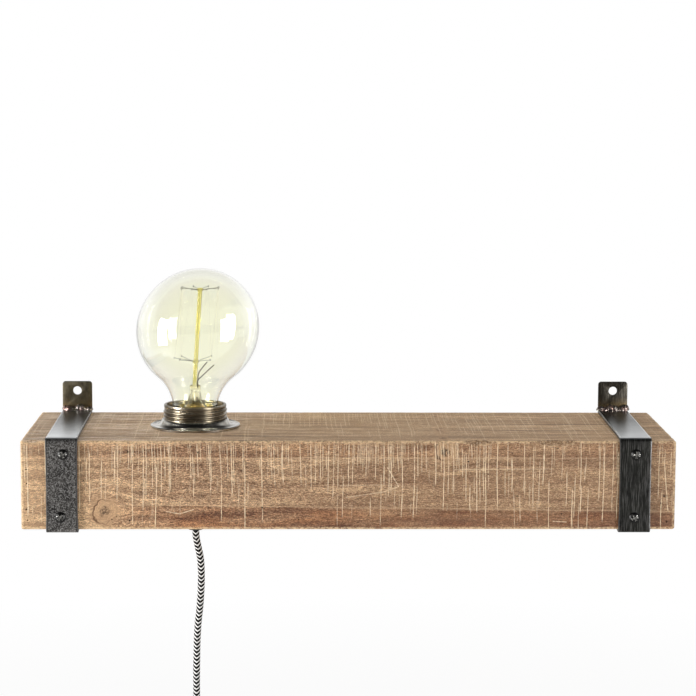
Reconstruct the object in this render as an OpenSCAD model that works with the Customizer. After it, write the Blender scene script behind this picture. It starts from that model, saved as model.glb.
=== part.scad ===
// Wall lamp with a shelf: a rough timber block held in two bent steel straps, a lampholder sunk
// in its top with a globe bulb, and a textile cord that leaves through the underside.
// Millimetres. +X is to the right seen from the front, +Y goes into the wall, +Z is up.
// The origin is midway between the two wall screw holes, on the wall.

/* [Timber block] */
// Width of the block along the wall
block_w = 415; // [400:5:480]
// Depth of the block out from the wall
block_d = 118; // [112:1:150]
// Height of the block
block_h = 57; // [57:1:75]

/* [Straps and wall tabs] */
// Width of the flat steel bar
bar_w = 20; // [16:1:26]
// Thickness of the bar
bar_t = 2; // [1.5:0.5:3]
// Distance between the centres of the two straps
strap_spread = 366; // [300:2:370]
// Length of the leg that runs back under the block
leg_under = 100; // [20:1:108]
// Height of the wall tabs above the block
tab_rise = 21.5; // [20:0.5:30]
// Height of the wall screw holes above the block
hole_rise = 15.2; // [12:0.2:16.4]
// Diameter of the wall screw holes
hole_d = 5.8; // [4:0.2:6.6]

/* [Lampholder] */
// Place of the lamp's axis along the block
lamp_x = -100; // [-120:5:120]
// Outer diameter of the thread on the holder's shell
shell_d = 41.7; // [41:0.1:42]
// Height of the shell's rim above the block
shell_rise = 14.8; // [13.4:0.2:16]
// Diameter of the dished shade ring
shade_ring_d = 58.6; // [54:0.2:64]

/* [Bulb] */
// Diameter of the glass globe
globe_d = 80; // [78:1:86]
// Height of the globe's centre above the block
globe_z = 64; // [62:0.5:68]
// Wall of the glass
glass_t = 0.8; // [0.6:0.1:1]

/* [Cord] */
// Diameter of the textile cord
cord_d = 4.6; // [4.2:0.1:4.7]
// Turns in the coil
coil_turns = 9; // [7:1:9]

/* [Switch and plug] */
// Length of the in-line switch over its two collars
switch_len = 62; // [58:1:64]
// Width of the switch
switch_w = 24; // [22:1:28]
// Swing of the rocker from off to on, in degrees
rocker_swing = 20; // [10:1:22]
// Length of the plug's pins
pin_len = 19; // [18:0.5:20]

/* [Hidden] */
$fn = 48;
snug = 0.05; // round a screw or a pin that bites
slack = 0.2; // round one that passes through

// Levels and centre lines
top_z = -hole_rise;
under_z = top_z - block_h;
lamp_y = -block_d / 2;

// Block
edge_cut = 0.8;
bore_r = 21.5;
bore_depth = 44;
floor_t = 6;
counterbore_r = 11.5;

// Straps: each screw is [side, shift along X, height], as hand drilled
bend_r = 3;
tab_corner_r = 2;
screw_from_top = 8.5;
screw_from_under = 8.3;
strap_screw_spots = [
    [-1, 1.1, top_z - screw_from_top], [-1, -0.6, under_z + screw_from_under],
    [1, 0.7, top_z - screw_from_top], [1, 0, under_z + screw_from_under]];
screw_r = 1.7;
screw_len = 25;
screw_head_r = 3.5;
screw_head_h = 1.9;
weld_lumps = 8;

// Lampholder, heights from the block's top
shell_r = shell_d / 2;
shell_pitch = 2.5;
shell_thread = 0.9;
shell_wall = 1.2;
shell_foot = -15;
ceramic_r = 17.6;
ceramic_foot = -27;
ceramic_rise = 9.5;
ceramic_bores = [[14.3, -8.6], [13, -12], [6.5, -17]]; // each is [radius, floor]
cap_r = 20.4;
nipple_r = 4.95;
nipple_bore_r = 3.4;
nipple_top = -41;
nipple_foot = -block_h - 6;
washer_t = 1.5;
nut_flat = 14;
nut_h = 4;
grip_foot = -block_h - 12;
terminal_x = 9;
terminal_r = 1.6;
terminal_len = 8;
terminal_head_h = 2;

// E27 thread shared by the bulb's cap and the holder's screw shell
e27_pitch = 3.629;
e27_sides = 24;
e27_rows = 6;
e27_step = e27_pitch / e27_rows;

// Bulb, heights from the block's top
globe_r = globe_d / 2;
neck_z = 11;
neck_r = 14.6;
skirt_z = 13.2;
fall = globe_z - neck_z;
waist_r = (fall * fall + neck_r * neck_r - globe_r * globe_r) / (2 * (globe_r - neck_r));
waist_x = neck_r + waist_r;
meet_a = atan2(fall, waist_x);
rod_foot = [-0.5, 0, 26];
lower_hub = [0.5, 0, 42.6];
upper_hub = [3.5, 0, 90];
cage_top_r = 12.8;
cage_low_r = 13.9;
cage_arms = 8;
hub_r = 2.2;
support_r = 0.25;
filament_r = 0.15;

// Cord: it leaves the grip at exit_at and hangs. Points are [x, y, z] from there.
cord_r = cord_d / 2;
exit_at = [lamp_x, lamp_y, top_z + grip_foot];
drop_route = [[0, 0, 0], [0, 0, -2], [0.3, 0, -6], [1.5, 0, -12], [3, 0, -20], [3.5, 0, -30], [3.3, 0, -40],
    [2.5, 0, -52], [1.2, 0, -64], [0.5, 0, -76], [0.2, 0, -88], [0, 0, -100], [0, 0, -112],
    [0, 0, -126]];
to_coil_route = [[0, 0, -176], [0, 0, -182], [2, -0.8, -189.4], [7, -2.8, -197], [13, -5.3, -204.4],
    [17.5, -7.2, -211.6], [19, -7.8, -219], [19, -7.8, -228], [19, -7.8, -233.4]];
tail_route = [[19, 7.8, -242.6], [19, 7.8, -250], [19, 7.8, -258], [19, 7.8, -270]];
inner_route = [[0, 0, 0], [0, 0, 8], [0, 0, 16], [0, 0, 24], [0, 0, 31]];
wire_r = 1.1;
wire_route = [[1.2, 0, 31], [1.2, 0, 32], [1.8, 0, 33.4], [3.4, 0, 34.8], [5.6, 0, 35.8],
    [7.8, 0, 36.8], [8.8, 0, 38.2], [9, 0, 39.8]];
cord_sides = 8;

// Coil: it hangs upright, wound about an axis along Y, and spirals in and out in four layers
coil_centre = [-12, 0, -238];
coil_r = 31;
coil_gap = 5.2;
coil_layers = 4;
coil_rings = 24;
coil_sides = 6;
layer_turns = (coil_turns - (coil_layers - 1) / 2) / coil_layers;
coil_half = coil_gap * (coil_layers - 1) / 2;
inner_coil_r = coil_r - coil_gap * layer_turns;

// Switch, about its own centre: the front faces -Y
switch_at = exit_at + [0, 0, -151];
collar_len = 4;
collar_r = 4.6;
switch_body = switch_len - 2 * collar_len;
switch_half = 8.5;
switch_wall = 1.8;
switch_corner = 9;
cord_hole_r = cord_r + slack;
rocker_w = 11;
rocker_l = 17;
rocker_up = 3.2;
pivot_in = 4;
pivot_y = -switch_half + pivot_in;
pivot_r = 1.2;
pivot_hole_r = 1.27;
case_screws = [[-7.5, 17], [7.5, -17]];

// Plug, from the top of its relief
plug_at = exit_at + [19, 7.8, -262];
relief_len = 22;
plug_len = 34;
plug_w = 26;
plug_t = 13.6;
pin_gap = 18.6;
pin_r = 2;
pin_root = 11;
sleeve_len = 10;
sleeve_wall = 0.35;

// ---- helpers ----

// What belongs to the lampholder and bulb: the lamp's axis at the block's top
module at_lamp() translate([lamp_x, lamp_y, top_z]) children();

// Flat outline with rounded corners, about its centre
module rounded_outline(w, h, r) {
    square([w - 2 * r, h], center = true);
    square([w, h - 2 * r], center = true);
    for (x = [-1, 1], y = [-1, 1])
        translate([x * (w / 2 - r), y * (h / 2 - r)]) circle(r = r);
}

// Straight round rod between two points
module rod(a, b, r, sides = 8) {
    v = b - a;
    translate(a) rotate([0, acos(v.z / norm(v)), atan2(v.y, v.x)])
        cylinder(h = norm(v), r = r, $fn = sides);
}

// Side faces of a skin made of rows of points, wound to face outwards
function skin(rows, sides, first = 0) = [for (i = [0:rows - 2], j = [0:sides - 1])
    let (k = (j + 1) % sides, a = first + i * sides + j, b = first + i * sides + k)
    each [[a, a + sides, b + sides], [a, b + sides, b]]];

function flip(faces) = [for (f = faces) [f[0], f[2], f[1]]];

function along(p, i) = let (v = p[min(i + 1, len(p) - 1)] - p[max(i - 1, 0)]) v / norm(v);

// One ring of a tube at point i of a route
function ring(p, i, r, sides) =
    let (d = along(p, i), c = cross([0, 1, 0], d), u = c / norm(c), v = cross(d, u))
    [for (j = [0:sides - 1]) let (a = 360 * j / sides) p[i] + r * (cos(a) * u + sin(a) * v)];

// Tube swept along a route
module tube(p, r, sides) {
    n = len(p);
    last = (n - 1) * sides;
    caps = [for (j = [1:sides - 2]) each [[0, j, j + 1], [last, last + j + 1, last + j]]];
    polyhedron([for (i = [0:n - 1]) each ring(p, i, r, sides)],
        concat(skin(n, sides), caps), convexity = 10);
}

// Thin sleeve with a rolled right-hand thread. Each row is [height, mean radius, thread depth].
module rolled_sleeve(rows, wall) {
    s = e27_sides;
    n = len(rows);
    inner = n * s;
    points = [for (inset = [0, wall], row = rows, j = [0:s - 1])
        let (a = 360 * j / s,
            r = row[1] - inset + row[2] * cos(360 * row[0] / e27_pitch - a))
        [r * cos(a), r * sin(a), row[0]]];
    foot = [for (j = [0:s - 1]) let (k = (j + 1) % s)
        each [[j, k, inner + k], [j, inner + k, inner + j]]];
    rim = [for (j = [0:s - 1]) let (k = (j + 1) % s, a = (n - 1) * s)
        each [[a + j, inner + a + k, a + k], [a + j, inner + a + j, inner + a + k]]];
    polyhedron(points, concat(skin(n, s), flip(skin(n, s, inner)), foot, rim), convexity = 10);
}

// ---- timber and straps ----

module timber_block() color("sienna") difference() {
    rotate([90, 0, 90]) translate([0, 0, -block_w / 2]) linear_extrude(block_w) polygon([
        [0, under_z + edge_cut], [0, top_z - edge_cut], [-edge_cut, top_z],
        [-block_d + edge_cut, top_z], [-block_d, top_z - edge_cut],
        [-block_d, under_z + edge_cut], [-block_d + edge_cut, under_z], [-edge_cut, under_z]]);
    at_lamp() {
        translate([0, 0, -bore_depth]) cylinder(h = bore_depth + 1, r = bore_r);
        translate([0, 0, -block_h - 1]) cylinder(h = block_h, r = 5.3);
        translate([0, 0, -block_h - 1])
            cylinder(h = block_h - bore_depth - floor_t + 1, r = counterbore_r);
    }
    for (s = strap_screw_spots)
        translate([s[0] * strap_spread / 2 + s[1], -block_d - 1, s[2]])
            rotate([-90, 0, 0]) cylinder(h = screw_len, r = screw_r + snug);
}

// Bar bent over the block's top, down its front and under it, seen from the side
module strap_outline() difference() {
    translate([-block_d - bar_t, under_z - bar_t]) {
        translate([bend_r, 0]) square([block_d + bar_t - bend_r, block_h + 2 * bar_t]);
        translate([0, bend_r]) square([block_d, block_h + 2 * bar_t - 2 * bend_r]);
        for (z = [bend_r, block_h + 2 * bar_t - bend_r])
            translate([bend_r, z]) circle(r = bend_r);
    }
    translate([-block_d, under_z]) square([block_d + 1, block_h]);
    translate([-block_d + leg_under, under_z - bar_t - 1]) square([block_d, block_h]);
}

module strap(side) difference() {
    translate([side * strap_spread / 2 - bar_w / 2, 0, 0])
        rotate([90, 0, 90]) linear_extrude(bar_w) strap_outline();
    for (s = strap_screw_spots)
        if (s[0] == side)
            translate([side * strap_spread / 2 + s[1], -block_d - bar_t - 1, s[2]])
                rotate([-90, 0, 0]) cylinder(h = bar_t + 2, r = screw_r + slack);
}

module wall_tab(side) {
    foot_z = top_z + bar_t;
    head_z = top_z + tab_rise;
    translate([side * strap_spread / 2, 0, 0]) rotate([90, 0, 0]) linear_extrude(bar_t)
        difference() {
            union() {
                translate([-bar_w / 2, foot_z]) square([bar_w, head_z - foot_z - tab_corner_r]);
                translate([-bar_w / 2 + tab_corner_r, foot_z])
                    square([bar_w - 2 * tab_corner_r, head_z - foot_z]);
                for (x = [-1, 1])
                    translate([x * (bar_w / 2 - tab_corner_r), head_z - tab_corner_r])
                        circle(r = tab_corner_r);
            }
            circle(d = hole_d);
        }
}

// Row of overlapping lumps in the corner between tab and strap
module weld_bead(side) difference() {
    translate([side * strap_spread / 2, -bar_t - 0.5, top_z + bar_t + 0.5])
        for (i = [0:weld_lumps - 1])
            translate([bar_w * ((i + 0.5) / weld_lumps - 0.5), 0, 0])
                sphere(r = 2.4 + 0.4 * sin(110 * i + 60 * side), $fn = 24);
    translate([-block_w / 2, -bar_t, top_z]) cube([block_w, 10, 20]);
    translate([-block_w / 2, -20, top_z + bar_t - 10]) cube([block_w, 40, 10]);
}

module strap_screws() color([0.08, 0.08, 0.08])
    for (s = strap_screw_spots)
        translate([s[0] * strap_spread / 2 + s[1], -block_d - bar_t, s[2]])
            rotate([-90, 0, 0]) {
                cylinder(h = screw_len, r = screw_r);
                difference() {
                    intersection() {
                        translate([0, 0, -screw_head_h]) cylinder(h = screw_head_h, r = screw_head_r);
                        translate([0, 0, 2.6]) sphere(r = 4.5);
                    }
                    for (a = [0, 90])
                        rotate(a) translate([-2, -0.4, -screw_head_h - 1]) cube([4, 0.8, 2]);
                }
            }

// ---- lampholder, sunk in the block ----

module shade_ring() color([0.45, 0.42, 0.36]) at_lamp() {
    inner = shell_r + 0.1;
    outer = shade_ring_d / 2;
    rotate_extrude($fn = 96) polygon([
        [inner, 0], [outer, 0], [outer, 1.3], [outer - 0.7, 1.6], [outer - 1.4, 1.2],
        [outer - 4, 0.9], [inner + 2.2, 1.2], [inner + 1.2, 2], [inner + 0.9, 3.2],
        [inner + 0.9, 4.6], [inner + 0.4, 5.2], [inner, 5.2]]);
}

// Sleeve with a rolled thread on the outside, drawn as rings
module holder_shell() color([0.42, 0.4, 0.35]) at_lamp() {
    count = floor((shell_rise - 2 - shell_foot) / shell_pitch);
    root = shell_r - shell_thread;
    rotate_extrude($fn = 96) polygon(concat(
        [[root - shell_wall, shell_foot], [root, shell_foot]],
        [for (i = [0:count - 1]) let (z = shell_foot + i * shell_pitch)
            each [[root, z + 0.3], [shell_r - 0.2, z + 0.9], [shell_r, z + 1.25],
                [shell_r - 0.2, z + 1.6], [root, z + 2.2]]],
        [[root, shell_rise - 1.8], [root + 0.5, shell_rise - 1.4], [root + 0.5, shell_rise - 0.5],
            [root, shell_rise], [root - shell_wall + 0.4, shell_rise],
            [root - shell_wall, shell_rise - 0.4]]));
}

module holder_cap() color([0.42, 0.4, 0.35]) at_lamp() {
    rotate_extrude($fn = 96) polygon([
        [5, -bore_depth], [8, -bore_depth], [8, -41.6], [11, -41.2], [16, -39.4], [19.2, -36.6],
        [cap_r, -33], [cap_r, shell_foot - 0.1], [18.55, shell_foot - 0.1], [18.55, -8.5],
        [17.85, -8.5], [17.85, -32.6], [15.2, -37.4], [11, -39.4], [5, -39.8]]);
}

module ceramic_insert() color("ivory") at_lamp() difference() {
    translate([0, 0, ceramic_foot])
        cylinder(h = ceramic_rise - ceramic_foot, r = ceramic_r, $fn = 96);
    for (b = ceramic_bores)
        translate([0, 0, b[1]]) cylinder(h = ceramic_rise - b[1] + 1, r = b[0], $fn = 96);
    for (x = [-terminal_x, terminal_x])
        translate([x, 0, ceramic_foot - 1])
            cylinder(h = terminal_len + 2, r = terminal_r + snug);
}

module screw_shell() color([0.8, 0.66, 0.36]) at_lamp()
    rolled_sleeve([for (z = [-8.5:e27_step:7.6]) [z, 13.4, 0.5]], 0.45);

// Bent spring strip in the pocket of the ceramic, under the bulb's centre contact
module centre_contact() color([0.8, 0.66, 0.36]) at_lamp()
    rotate([90, 0, 0]) translate([0, 0, -2.5]) linear_extrude(5) polygon([
        [-5.6, -17], [5, -17], [5.4, -16.6], [2.6, -13.3], [-3, -13.3], [-3, -13.7],
        [2.3, -13.7], [4.6, -16.6], [-5.6, -16.6]]);

module terminal_screws() color("gold") at_lamp()
    for (x = [-terminal_x, terminal_x]) translate([x, 0, ceramic_foot]) {
        translate([0, 0, -1]) cylinder(h = terminal_len + 1, r = terminal_r);
        difference() {
            translate([0, 0, -terminal_head_h]) cylinder(h = terminal_head_h, r = 2.8);
            translate([-4, -0.4, -terminal_head_h - 1]) cube([8, 0.8, 1.8]);
        }
    }

module threaded_nipple() color("lightgray") at_lamp() difference() {
    translate([0, 0, nipple_foot]) cylinder(h = nipple_top - nipple_foot, r = nipple_r);
    translate([0, 0, nipple_foot - 1])
        cylinder(h = nipple_top - nipple_foot + 2, r = nipple_bore_r);
}

module nipple_washer() color("silver") at_lamp()
    translate([0, 0, -bore_depth - floor_t - washer_t]) difference() {
        cylinder(h = washer_t, r = 10.5);
        translate([0, 0, -1]) cylinder(h = washer_t + 2, r = 5.3);
    }

module lock_nut() color([0.8, 0.66, 0.36]) at_lamp()
    translate([0, 0, -bore_depth - floor_t - washer_t - nut_h]) difference() {
        cylinder(h = nut_h, r = nut_flat / 2 / cos(30), $fn = 6);
        translate([0, 0, -1]) cylinder(h = nut_h + 2, r = 5);
    }

module cord_grip() color([0.1, 0.1, 0.1]) at_lamp() difference() {
    rotate_extrude() polygon([
        [cord_hole_r, grip_foot], [5.2, grip_foot], [6.6, grip_foot + 2.6], [7.4, grip_foot + 6],
        [7.4, grip_foot + 11.6], [5, grip_foot + 11.6], [5, nipple_foot - 0.1],
        [cord_hole_r, nipple_foot - 0.1]]);
    translate([0, 0, grip_foot + 3.3]) rotate([-90, 0, 0]) cylinder(h = 10, r = 1.6);
}

module grip_screw() color([0.15, 0.15, 0.15]) at_lamp()
    translate([0, cord_r + 0.1, grip_foot + 3.3]) rotate([-90, 0, 0]) {
        cylinder(h = 5.1, r = 1.5);
        translate([0, 0, 5.1]) difference() {
            cylinder(h = 1.6, r = 2.6);
            translate([-3, -0.3, 0.8]) cube([6, 0.6, 2]);
        }
    }

// ---- bulb ----

// Outline from the crown down to the waist, moved inwards by t
function glass_side(t) = concat(
    [for (i = [0:24]) let (a = 90 - (90 + meet_a) * i / 24)
        [(globe_r - t) * cos(a), globe_z + (globe_r - t) * sin(a)]],
    [for (i = [1:8]) let (a = 180 - meet_a + (meet_a - 7.5) * i / 8)
        [waist_x + (waist_r + t) * cos(a), neck_z + (waist_r + t) * sin(a)]]);

function reversed(list) = [for (i = [len(list) - 1:-1:0]) list[i]];

module bulb_glass() color([1, 0.95, 0.75, 0.4]) at_lamp()
    rotate_extrude($fn = 96) polygon(concat(glass_side(0),
        [[14.5, 13.9], [13.7, 13.5], [12.6, 13.4], [12.3, 12.9], [12.3, 10.2],
            [12.3 - glass_t, 10.2], [12.3 - glass_t, 13.3], [12.7, 14.2]],
        reversed(glass_side(glass_t))));

module bulb_cap() color([0.85, 0.7, 0.4]) at_lamp()
    rolled_sleeve(concat([[-7.6, 10.7, 0], [-6.7, 12, 0.1]],
        [for (z = [-6.1:e27_step:8.2]) [z, 12.525, 0.525]],
        [[9, 12.7, 0.15], [9.8, 13.05, 0], [12.5, 13.1, 0], [skirt_z, 13.7, 0]]), 0.35);

module bulb_cement() color("tan") at_lamp()
    rotate_extrude() polygon([[9.4, 9.4], [12.3, 9.4], [12.3, 10.1], [9.4, 10.1]]);

module bulb_insulator() color([0.06, 0.06, 0.06]) at_lamp()
    rotate_extrude() polygon([[0, -11.6], [4.8, -11.6], [5.4, -11.1], [9.9, -8.1],
        [9.9, -7.2], [0, -7.2]]);

module bulb_contact() color("silver") at_lamp()
    rotate_extrude() polygon([[0, -13], [3, -13], [4.2, -12.6], [4.6, -12], [4.6, -11.6],
        [0, -11.6]]);

// Flared foot, flattened pinch and the rod that carries both hubs
module bulb_stem() color([0.9, 0.9, 0.75, 0.5]) at_lamp() {
    rotate_extrude() polygon([[11.3, 10.3], [10.6, 12], [7, 14.2], [4.6, 17], [3.4, 21],
        [3, 25], [0, 25], [0, 23.6], [2, 23.6], [2.4, 21], [3.6, 16.4], [6.2, 13.2], [9.6, 11],
        [10.3, 10.3]]);
    translate([0, 0, 25.5]) cube([7, 2.6, 5], center = true);
    rod(rod_foot, lower_hub, 1.5, 24);
    rod(lower_hub, upper_hub, 1.5, 24);
    for (p = [lower_hub, upper_hub]) translate(p) sphere(r = hub_r, $fn = 24);
}

function cage_a(i) = 360 * (i + 0.5) / cage_arms;
function top_hook(i) = upper_hub + cage_top_r * [cos(cage_a(i)), sin(cage_a(i)), 0.03];
function low_hook(i) = lower_hub + cage_low_r * [cos(cage_a(i + 0.5)), sin(cage_a(i + 0.5)), 0.07];

// One arm of a star, from the hub's surface to its hook
module arm(hub, hook) rod(hub + (hub_r + 0.02) * (hook - hub) / norm(hook - hub), hook, support_r, 6);

// Upper and lower stars of fine wire
module support_wires() color("dimgray") at_lamp()
    for (i = [0:cage_arms - 1]) {
        arm(upper_hub, top_hook(i));
        if (i < cage_arms - 1) arm(lower_hub, low_hook(i));
    }

// From the pinch up to the two ends of the filament
module lead_wires() color([0.2, 0.2, 0.2]) at_lamp() {
    rod([1.6, 2.2, 27.5], low_hook(cage_arms - 1) + [-0.4, 0, -0.2], 0.35, 8);
    rod([1.6, -2.2, 27.5], [11.9, -6, 40], 0.35, 8);
}

// Where the filament turns, just outside an arm's end
function past(hub, hook) = hook + (filament_r + 0.1) * (hook - hub) / norm(hook - hub);
function top_turn(i) = past(upper_hub, top_hook(i));
function low_turn(i) = past(lower_hub, low_hook(i));

// Filament strung up and down between the two stars
module filament() color("dimgray") at_lamp()
    for (i = [0:cage_arms - 1]) {
        rod(top_turn(i), low_turn(i), filament_r, 6);
        if (i > 0) rod(low_turn(i - 1), top_turn(i), filament_r, 6);
    }

// ---- cord ----

function from_exit(route) = [for (p = route) exit_at + p];

module cord_inner() color([0.2, 0.2, 0.2]) tube(from_exit(inner_route), cord_r, cord_sides);

module wire_brown() color("saddlebrown") tube(from_exit(wire_route), wire_r, cord_sides);

module wire_blue() color("royalblue") mirror_at_lamp() tube(from_exit(wire_route), wire_r, cord_sides);

module mirror_at_lamp() translate([2 * lamp_x, 0, 0]) mirror([1, 0, 0]) children();

module cord_drop() color([0.3, 0.3, 0.3]) tube(from_exit(drop_route), cord_r, cord_sides);

module cord_to_coil() color([0.3, 0.3, 0.3]) tube(from_exit(to_coil_route), cord_r, cord_sides);

module cord_tail() color([0.3, 0.3, 0.3]) tube(from_exit(tail_route), cord_r, cord_sides);

// Radius and layer of the coil after t turns: steady in or out through a layer, and round the
// half turn where the spiral reverses it climbs to the next layer
function stage(t) = min(coil_layers - 1, floor(t / (layer_turns + 0.5)));
function in_stage(t) = t - stage(t) * (layer_turns + 0.5);
function past_end(t) = max(0, in_stage(t) - layer_turns);
function inward(t) = stage(t) % 2 == 0 ? -1 : 1;
function radius_at(t) = (inward(t) < 0 ? coil_r : inner_coil_r) + inward(t) * coil_gap
    * (min(in_stage(t), layer_turns) + past_end(t) - 2 * pow(past_end(t), 2));
function layer_at(t) = stage(t) + (1 - cos(360 * past_end(t))) / 2;
function coil_point(t) = exit_at + coil_centre + [radius_at(t) * cos(360 * t),
    coil_gap * layer_at(t) - coil_half, -radius_at(t) * sin(360 * t)];
coil_path = concat([coil_point(0) + [0, 0, cord_d]],
    [for (i = [0:coil_turns * coil_rings]) coil_point(i / coil_rings)],
    [coil_point(coil_turns) - [0, 0, cord_d]]);

// Least distance between two places on the coil that are more than half a turn apart
coil_clear = min([for (i = [0:len(coil_path) - 1], j = [i + coil_rings / 2:1:len(coil_path) - 1])
    norm(coil_path[i] - coil_path[j])]) - cord_d;
coil_length = let (p = coil_path)
    [for (i = 0, s = 0; i < len(p); s = s + (i > 0 ? norm(p[i] - p[i - 1]) : 0), i = i + 1) s];
echo("least gap in the coil", coil_clear, "length of the coil", coil_length[len(coil_path) - 1]);

module cord_coil() color([0.3, 0.3, 0.3]) tube(coil_path, cord_r, coil_sides);

// Band round the top of the coil
module coil_tie() color([0.1, 0.1, 0.1]) {
    low = inner_coil_r - cord_r - 2.2;
    high = coil_r + cord_r + 1.1;
    deep = 2 * (coil_half + cord_r + 0.5);
    translate(exit_at + coil_centre + [-5.5, 0, (low + high) / 2])
        rotate([90, 0, 90]) linear_extrude(11) difference() {
            rounded_outline(deep + 2.4, high - low + 2.4, 2.4);
            rounded_outline(deep, high - low, 1.2);
        }
}

// ---- in-line switch ----

module switch_shell_half(front) {
    y = front ? -switch_half : 0;
    difference() {
        union() {
            translate([0, y + switch_half, 0]) rotate([90, 0, 0]) linear_extrude(switch_half)
                rounded_outline(switch_w, switch_body, switch_corner);
            intersection() {
                for (s = [-1, 1]) translate([0, 0, s * (switch_body / 2 + collar_len / 2 - 1)])
                    cylinder(h = collar_len + 2, r = collar_r, center = true);
                translate([-10, y, -switch_len]) cube([20, switch_half, 2 * switch_len]);
            }
        }
        difference() {
            translate([0, y + (front ? switch_half + 1 : switch_half - switch_wall), 0])
                rotate([90, 0, 0]) linear_extrude(switch_half - switch_wall + 1)
                rounded_outline(switch_w - 2 * switch_wall, switch_body - 2 * switch_wall,
                    switch_corner - switch_wall);
            for (s = case_screws)
                translate([s[0], 0, s[1]]) rotate([90, 0, 0])
                    cylinder(h = 40, r = 2.8, center = true);
        }
        cylinder(h = switch_len + 2, r = cord_hole_r, center = true);
    }
}

module switch_base() color([0.1, 0.1, 0.1]) translate(switch_at) difference() {
    switch_shell_half(false);
    for (s = case_screws) translate([s[0], 0, s[1]]) rotate([-90, 0, 0]) {
        translate([0, 0, -1]) cylinder(h = 20, r = 1.4);
        translate([0, 0, switch_half - 2]) cylinder(h = 5, r = 2.4);
    }
}

module switch_cover() color([0.1, 0.1, 0.1]) translate(switch_at) difference() {
    union() {
        switch_shell_half(true);
        for (x = [-1, 1])
            translate([x * 7.2 - 0.9, -switch_half + switch_wall / 2, -2.6])
                cube([1.8, 6, 5.2]);
    }
    translate([-rocker_w / 2 - 0.5, -switch_half - 1, -rocker_l / 2 - 1.3])
        cube([rocker_w + 1, switch_wall + 2, rocker_l + 2.6]);
    translate([-15, pivot_y, 0]) rotate([0, 90, 0]) translate([0, 0, 5])
        cylinder(h = 20, r = pivot_hole_r);
    for (s = case_screws) translate([s[0], 1, s[1]]) rotate([90, 0, 0])
        cylinder(h = 6.5, r = 1.15);
}

module switch_rocker() color([0.85, 0.85, 0.82]) translate(switch_at + [0, pivot_y, 0])
    rotate([rocker_swing / 2, 0, 0]) {
        up = pivot_in + rocker_up;
        difference() {
            union() {
                translate([-rocker_w / 2, -up, -rocker_l / 2])
                    cube([rocker_w, up - 1.8, rocker_l]);
                translate([-rocker_w / 2 + 2, -3, -3.5]) cube([rocker_w - 4, 4.5, 7]);
            }
            translate([-10, -up - 21.6, 0]) rotate([0, 90, 0]) cylinder(h = 20, r = 23, $fn = 96);
        }
        translate([-8, 0, 0]) rotate([0, 90, 0]) cylinder(h = 16, r = pivot_r);
    }

module switch_screws() color("silver") translate(switch_at)
    for (s = case_screws) translate([s[0], 0, s[1]]) rotate([-90, 0, 0]) {
        translate([0, 0, -5]) cylinder(h = switch_half + 3.2, r = 1.1);
        difference() {
            translate([0, 0, switch_half - 1.9]) cylinder(h = 1.5, r = 2.2);
            translate([-3, -0.3, switch_half - 1]) cube([6, 0.6, 2]);
        }
    }

module switch_contacts() color([0.8, 0.66, 0.36]) translate(switch_at)
    for (s = [-1, 1]) {
        translate([-2.5, 2, s * 14 - 6]) cube([5, 0.6, 12]);
        translate([-2.5, 2, s * 14 - (s > 0 ? 6 : -5.4)]) cube([5, 4.6, 0.6]);
    }

// ---- plug ----

module plug_body() color([0.1, 0.1, 0.1]) translate(plug_at) difference() {
    union() {
        translate([0, 0, -relief_len - 2]) cylinder(h = relief_len + 2, r1 = 5.8, r2 = 3.6);
        translate([0, 0, -relief_len - plug_len])
            linear_extrude(plug_len) rounded_outline(plug_w, plug_t, 5);
    }
    translate([0, 0, -9]) cylinder(h = 20, r = cord_hole_r);
    for (x = [-1, 1]) translate([x * pin_gap / 2, 0, -relief_len - plug_len - 1])
        cylinder(h = pin_root + 2, r = pin_r + snug);
}

module pin_at(x) translate(plug_at + [x * pin_gap / 2, 0, -relief_len - plug_len - pin_len])
    children();

module plug_pins() color("silver")
    for (x = [-1, 1]) pin_at(x) rotate_extrude() polygon([
        [0, 0], [1.2, 0], [1.9, 1], [pin_r, 1.6], [pin_r, pin_len - sleeve_len],
        [pin_r - sleeve_wall - snug, pin_len - sleeve_len],
        [pin_r - sleeve_wall - snug, pin_len + pin_root], [0, pin_len + pin_root]]);

module pin_sleeves() color([0.12, 0.12, 0.12])
    for (x = [-1, 1]) pin_at(x) translate([0, 0, pin_len - sleeve_len]) difference() {
        cylinder(h = sleeve_len + 2, r = pin_r);
        translate([0, 0, -1]) cylinder(h = sleeve_len + 4, r = pin_r - sleeve_wall);
    }

timber_block();
color("dimgray") strap(-1);  // strap_left
color("dimgray") strap(1);  // strap_right
color([0.3, 0.28, 0.25]) wall_tab(-1);  // wall_tab_left
color([0.26, 0.24, 0.22]) wall_tab(1);  // wall_tab_right
color("gray") weld_bead(-1);  // weld_bead_left
color("gray") weld_bead(1);  // weld_bead_right
strap_screws();
shade_ring();
holder_shell();
holder_cap();
ceramic_insert();
screw_shell();
centre_contact();
terminal_screws();
threaded_nipple();
nipple_washer();
lock_nut();
cord_grip();
grip_screw();
bulb_glass();
bulb_cap();
bulb_cement();
bulb_insulator();
bulb_contact();
bulb_stem();
support_wires();
lead_wires();
filament();
cord_inner();
wire_brown();
wire_blue();
cord_drop();
switch_base();
switch_cover();
switch_rocker();
switch_screws();
switch_contacts();
cord_to_coil();
cord_coil();
coil_tie();
cord_tail();
plug_body();
plug_pins();
pin_sleeves();
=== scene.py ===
"""Looks of a wall lamp with a timber shelf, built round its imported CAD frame.

A rough timber block hangs from two bent steel straps. A metal lampholder is sunk in its top and
holds a tinted globe bulb. A braided textile cord leaves the underside, runs through a rocker
switch, and ends in a coil with its plug.

Everything is in metres in the CAD's own frame: +X to the right seen from the front, +Y into the
wall, +Z up, with the origin midway between the two wall screw holes.
"""

from __future__ import annotations

import logging
import math
from collections.abc import Callable, Iterator, Mapping, Sequence
from contextlib import contextmanager
from dataclasses import dataclass, field
from enum import Enum
from typing import ClassVar

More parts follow.
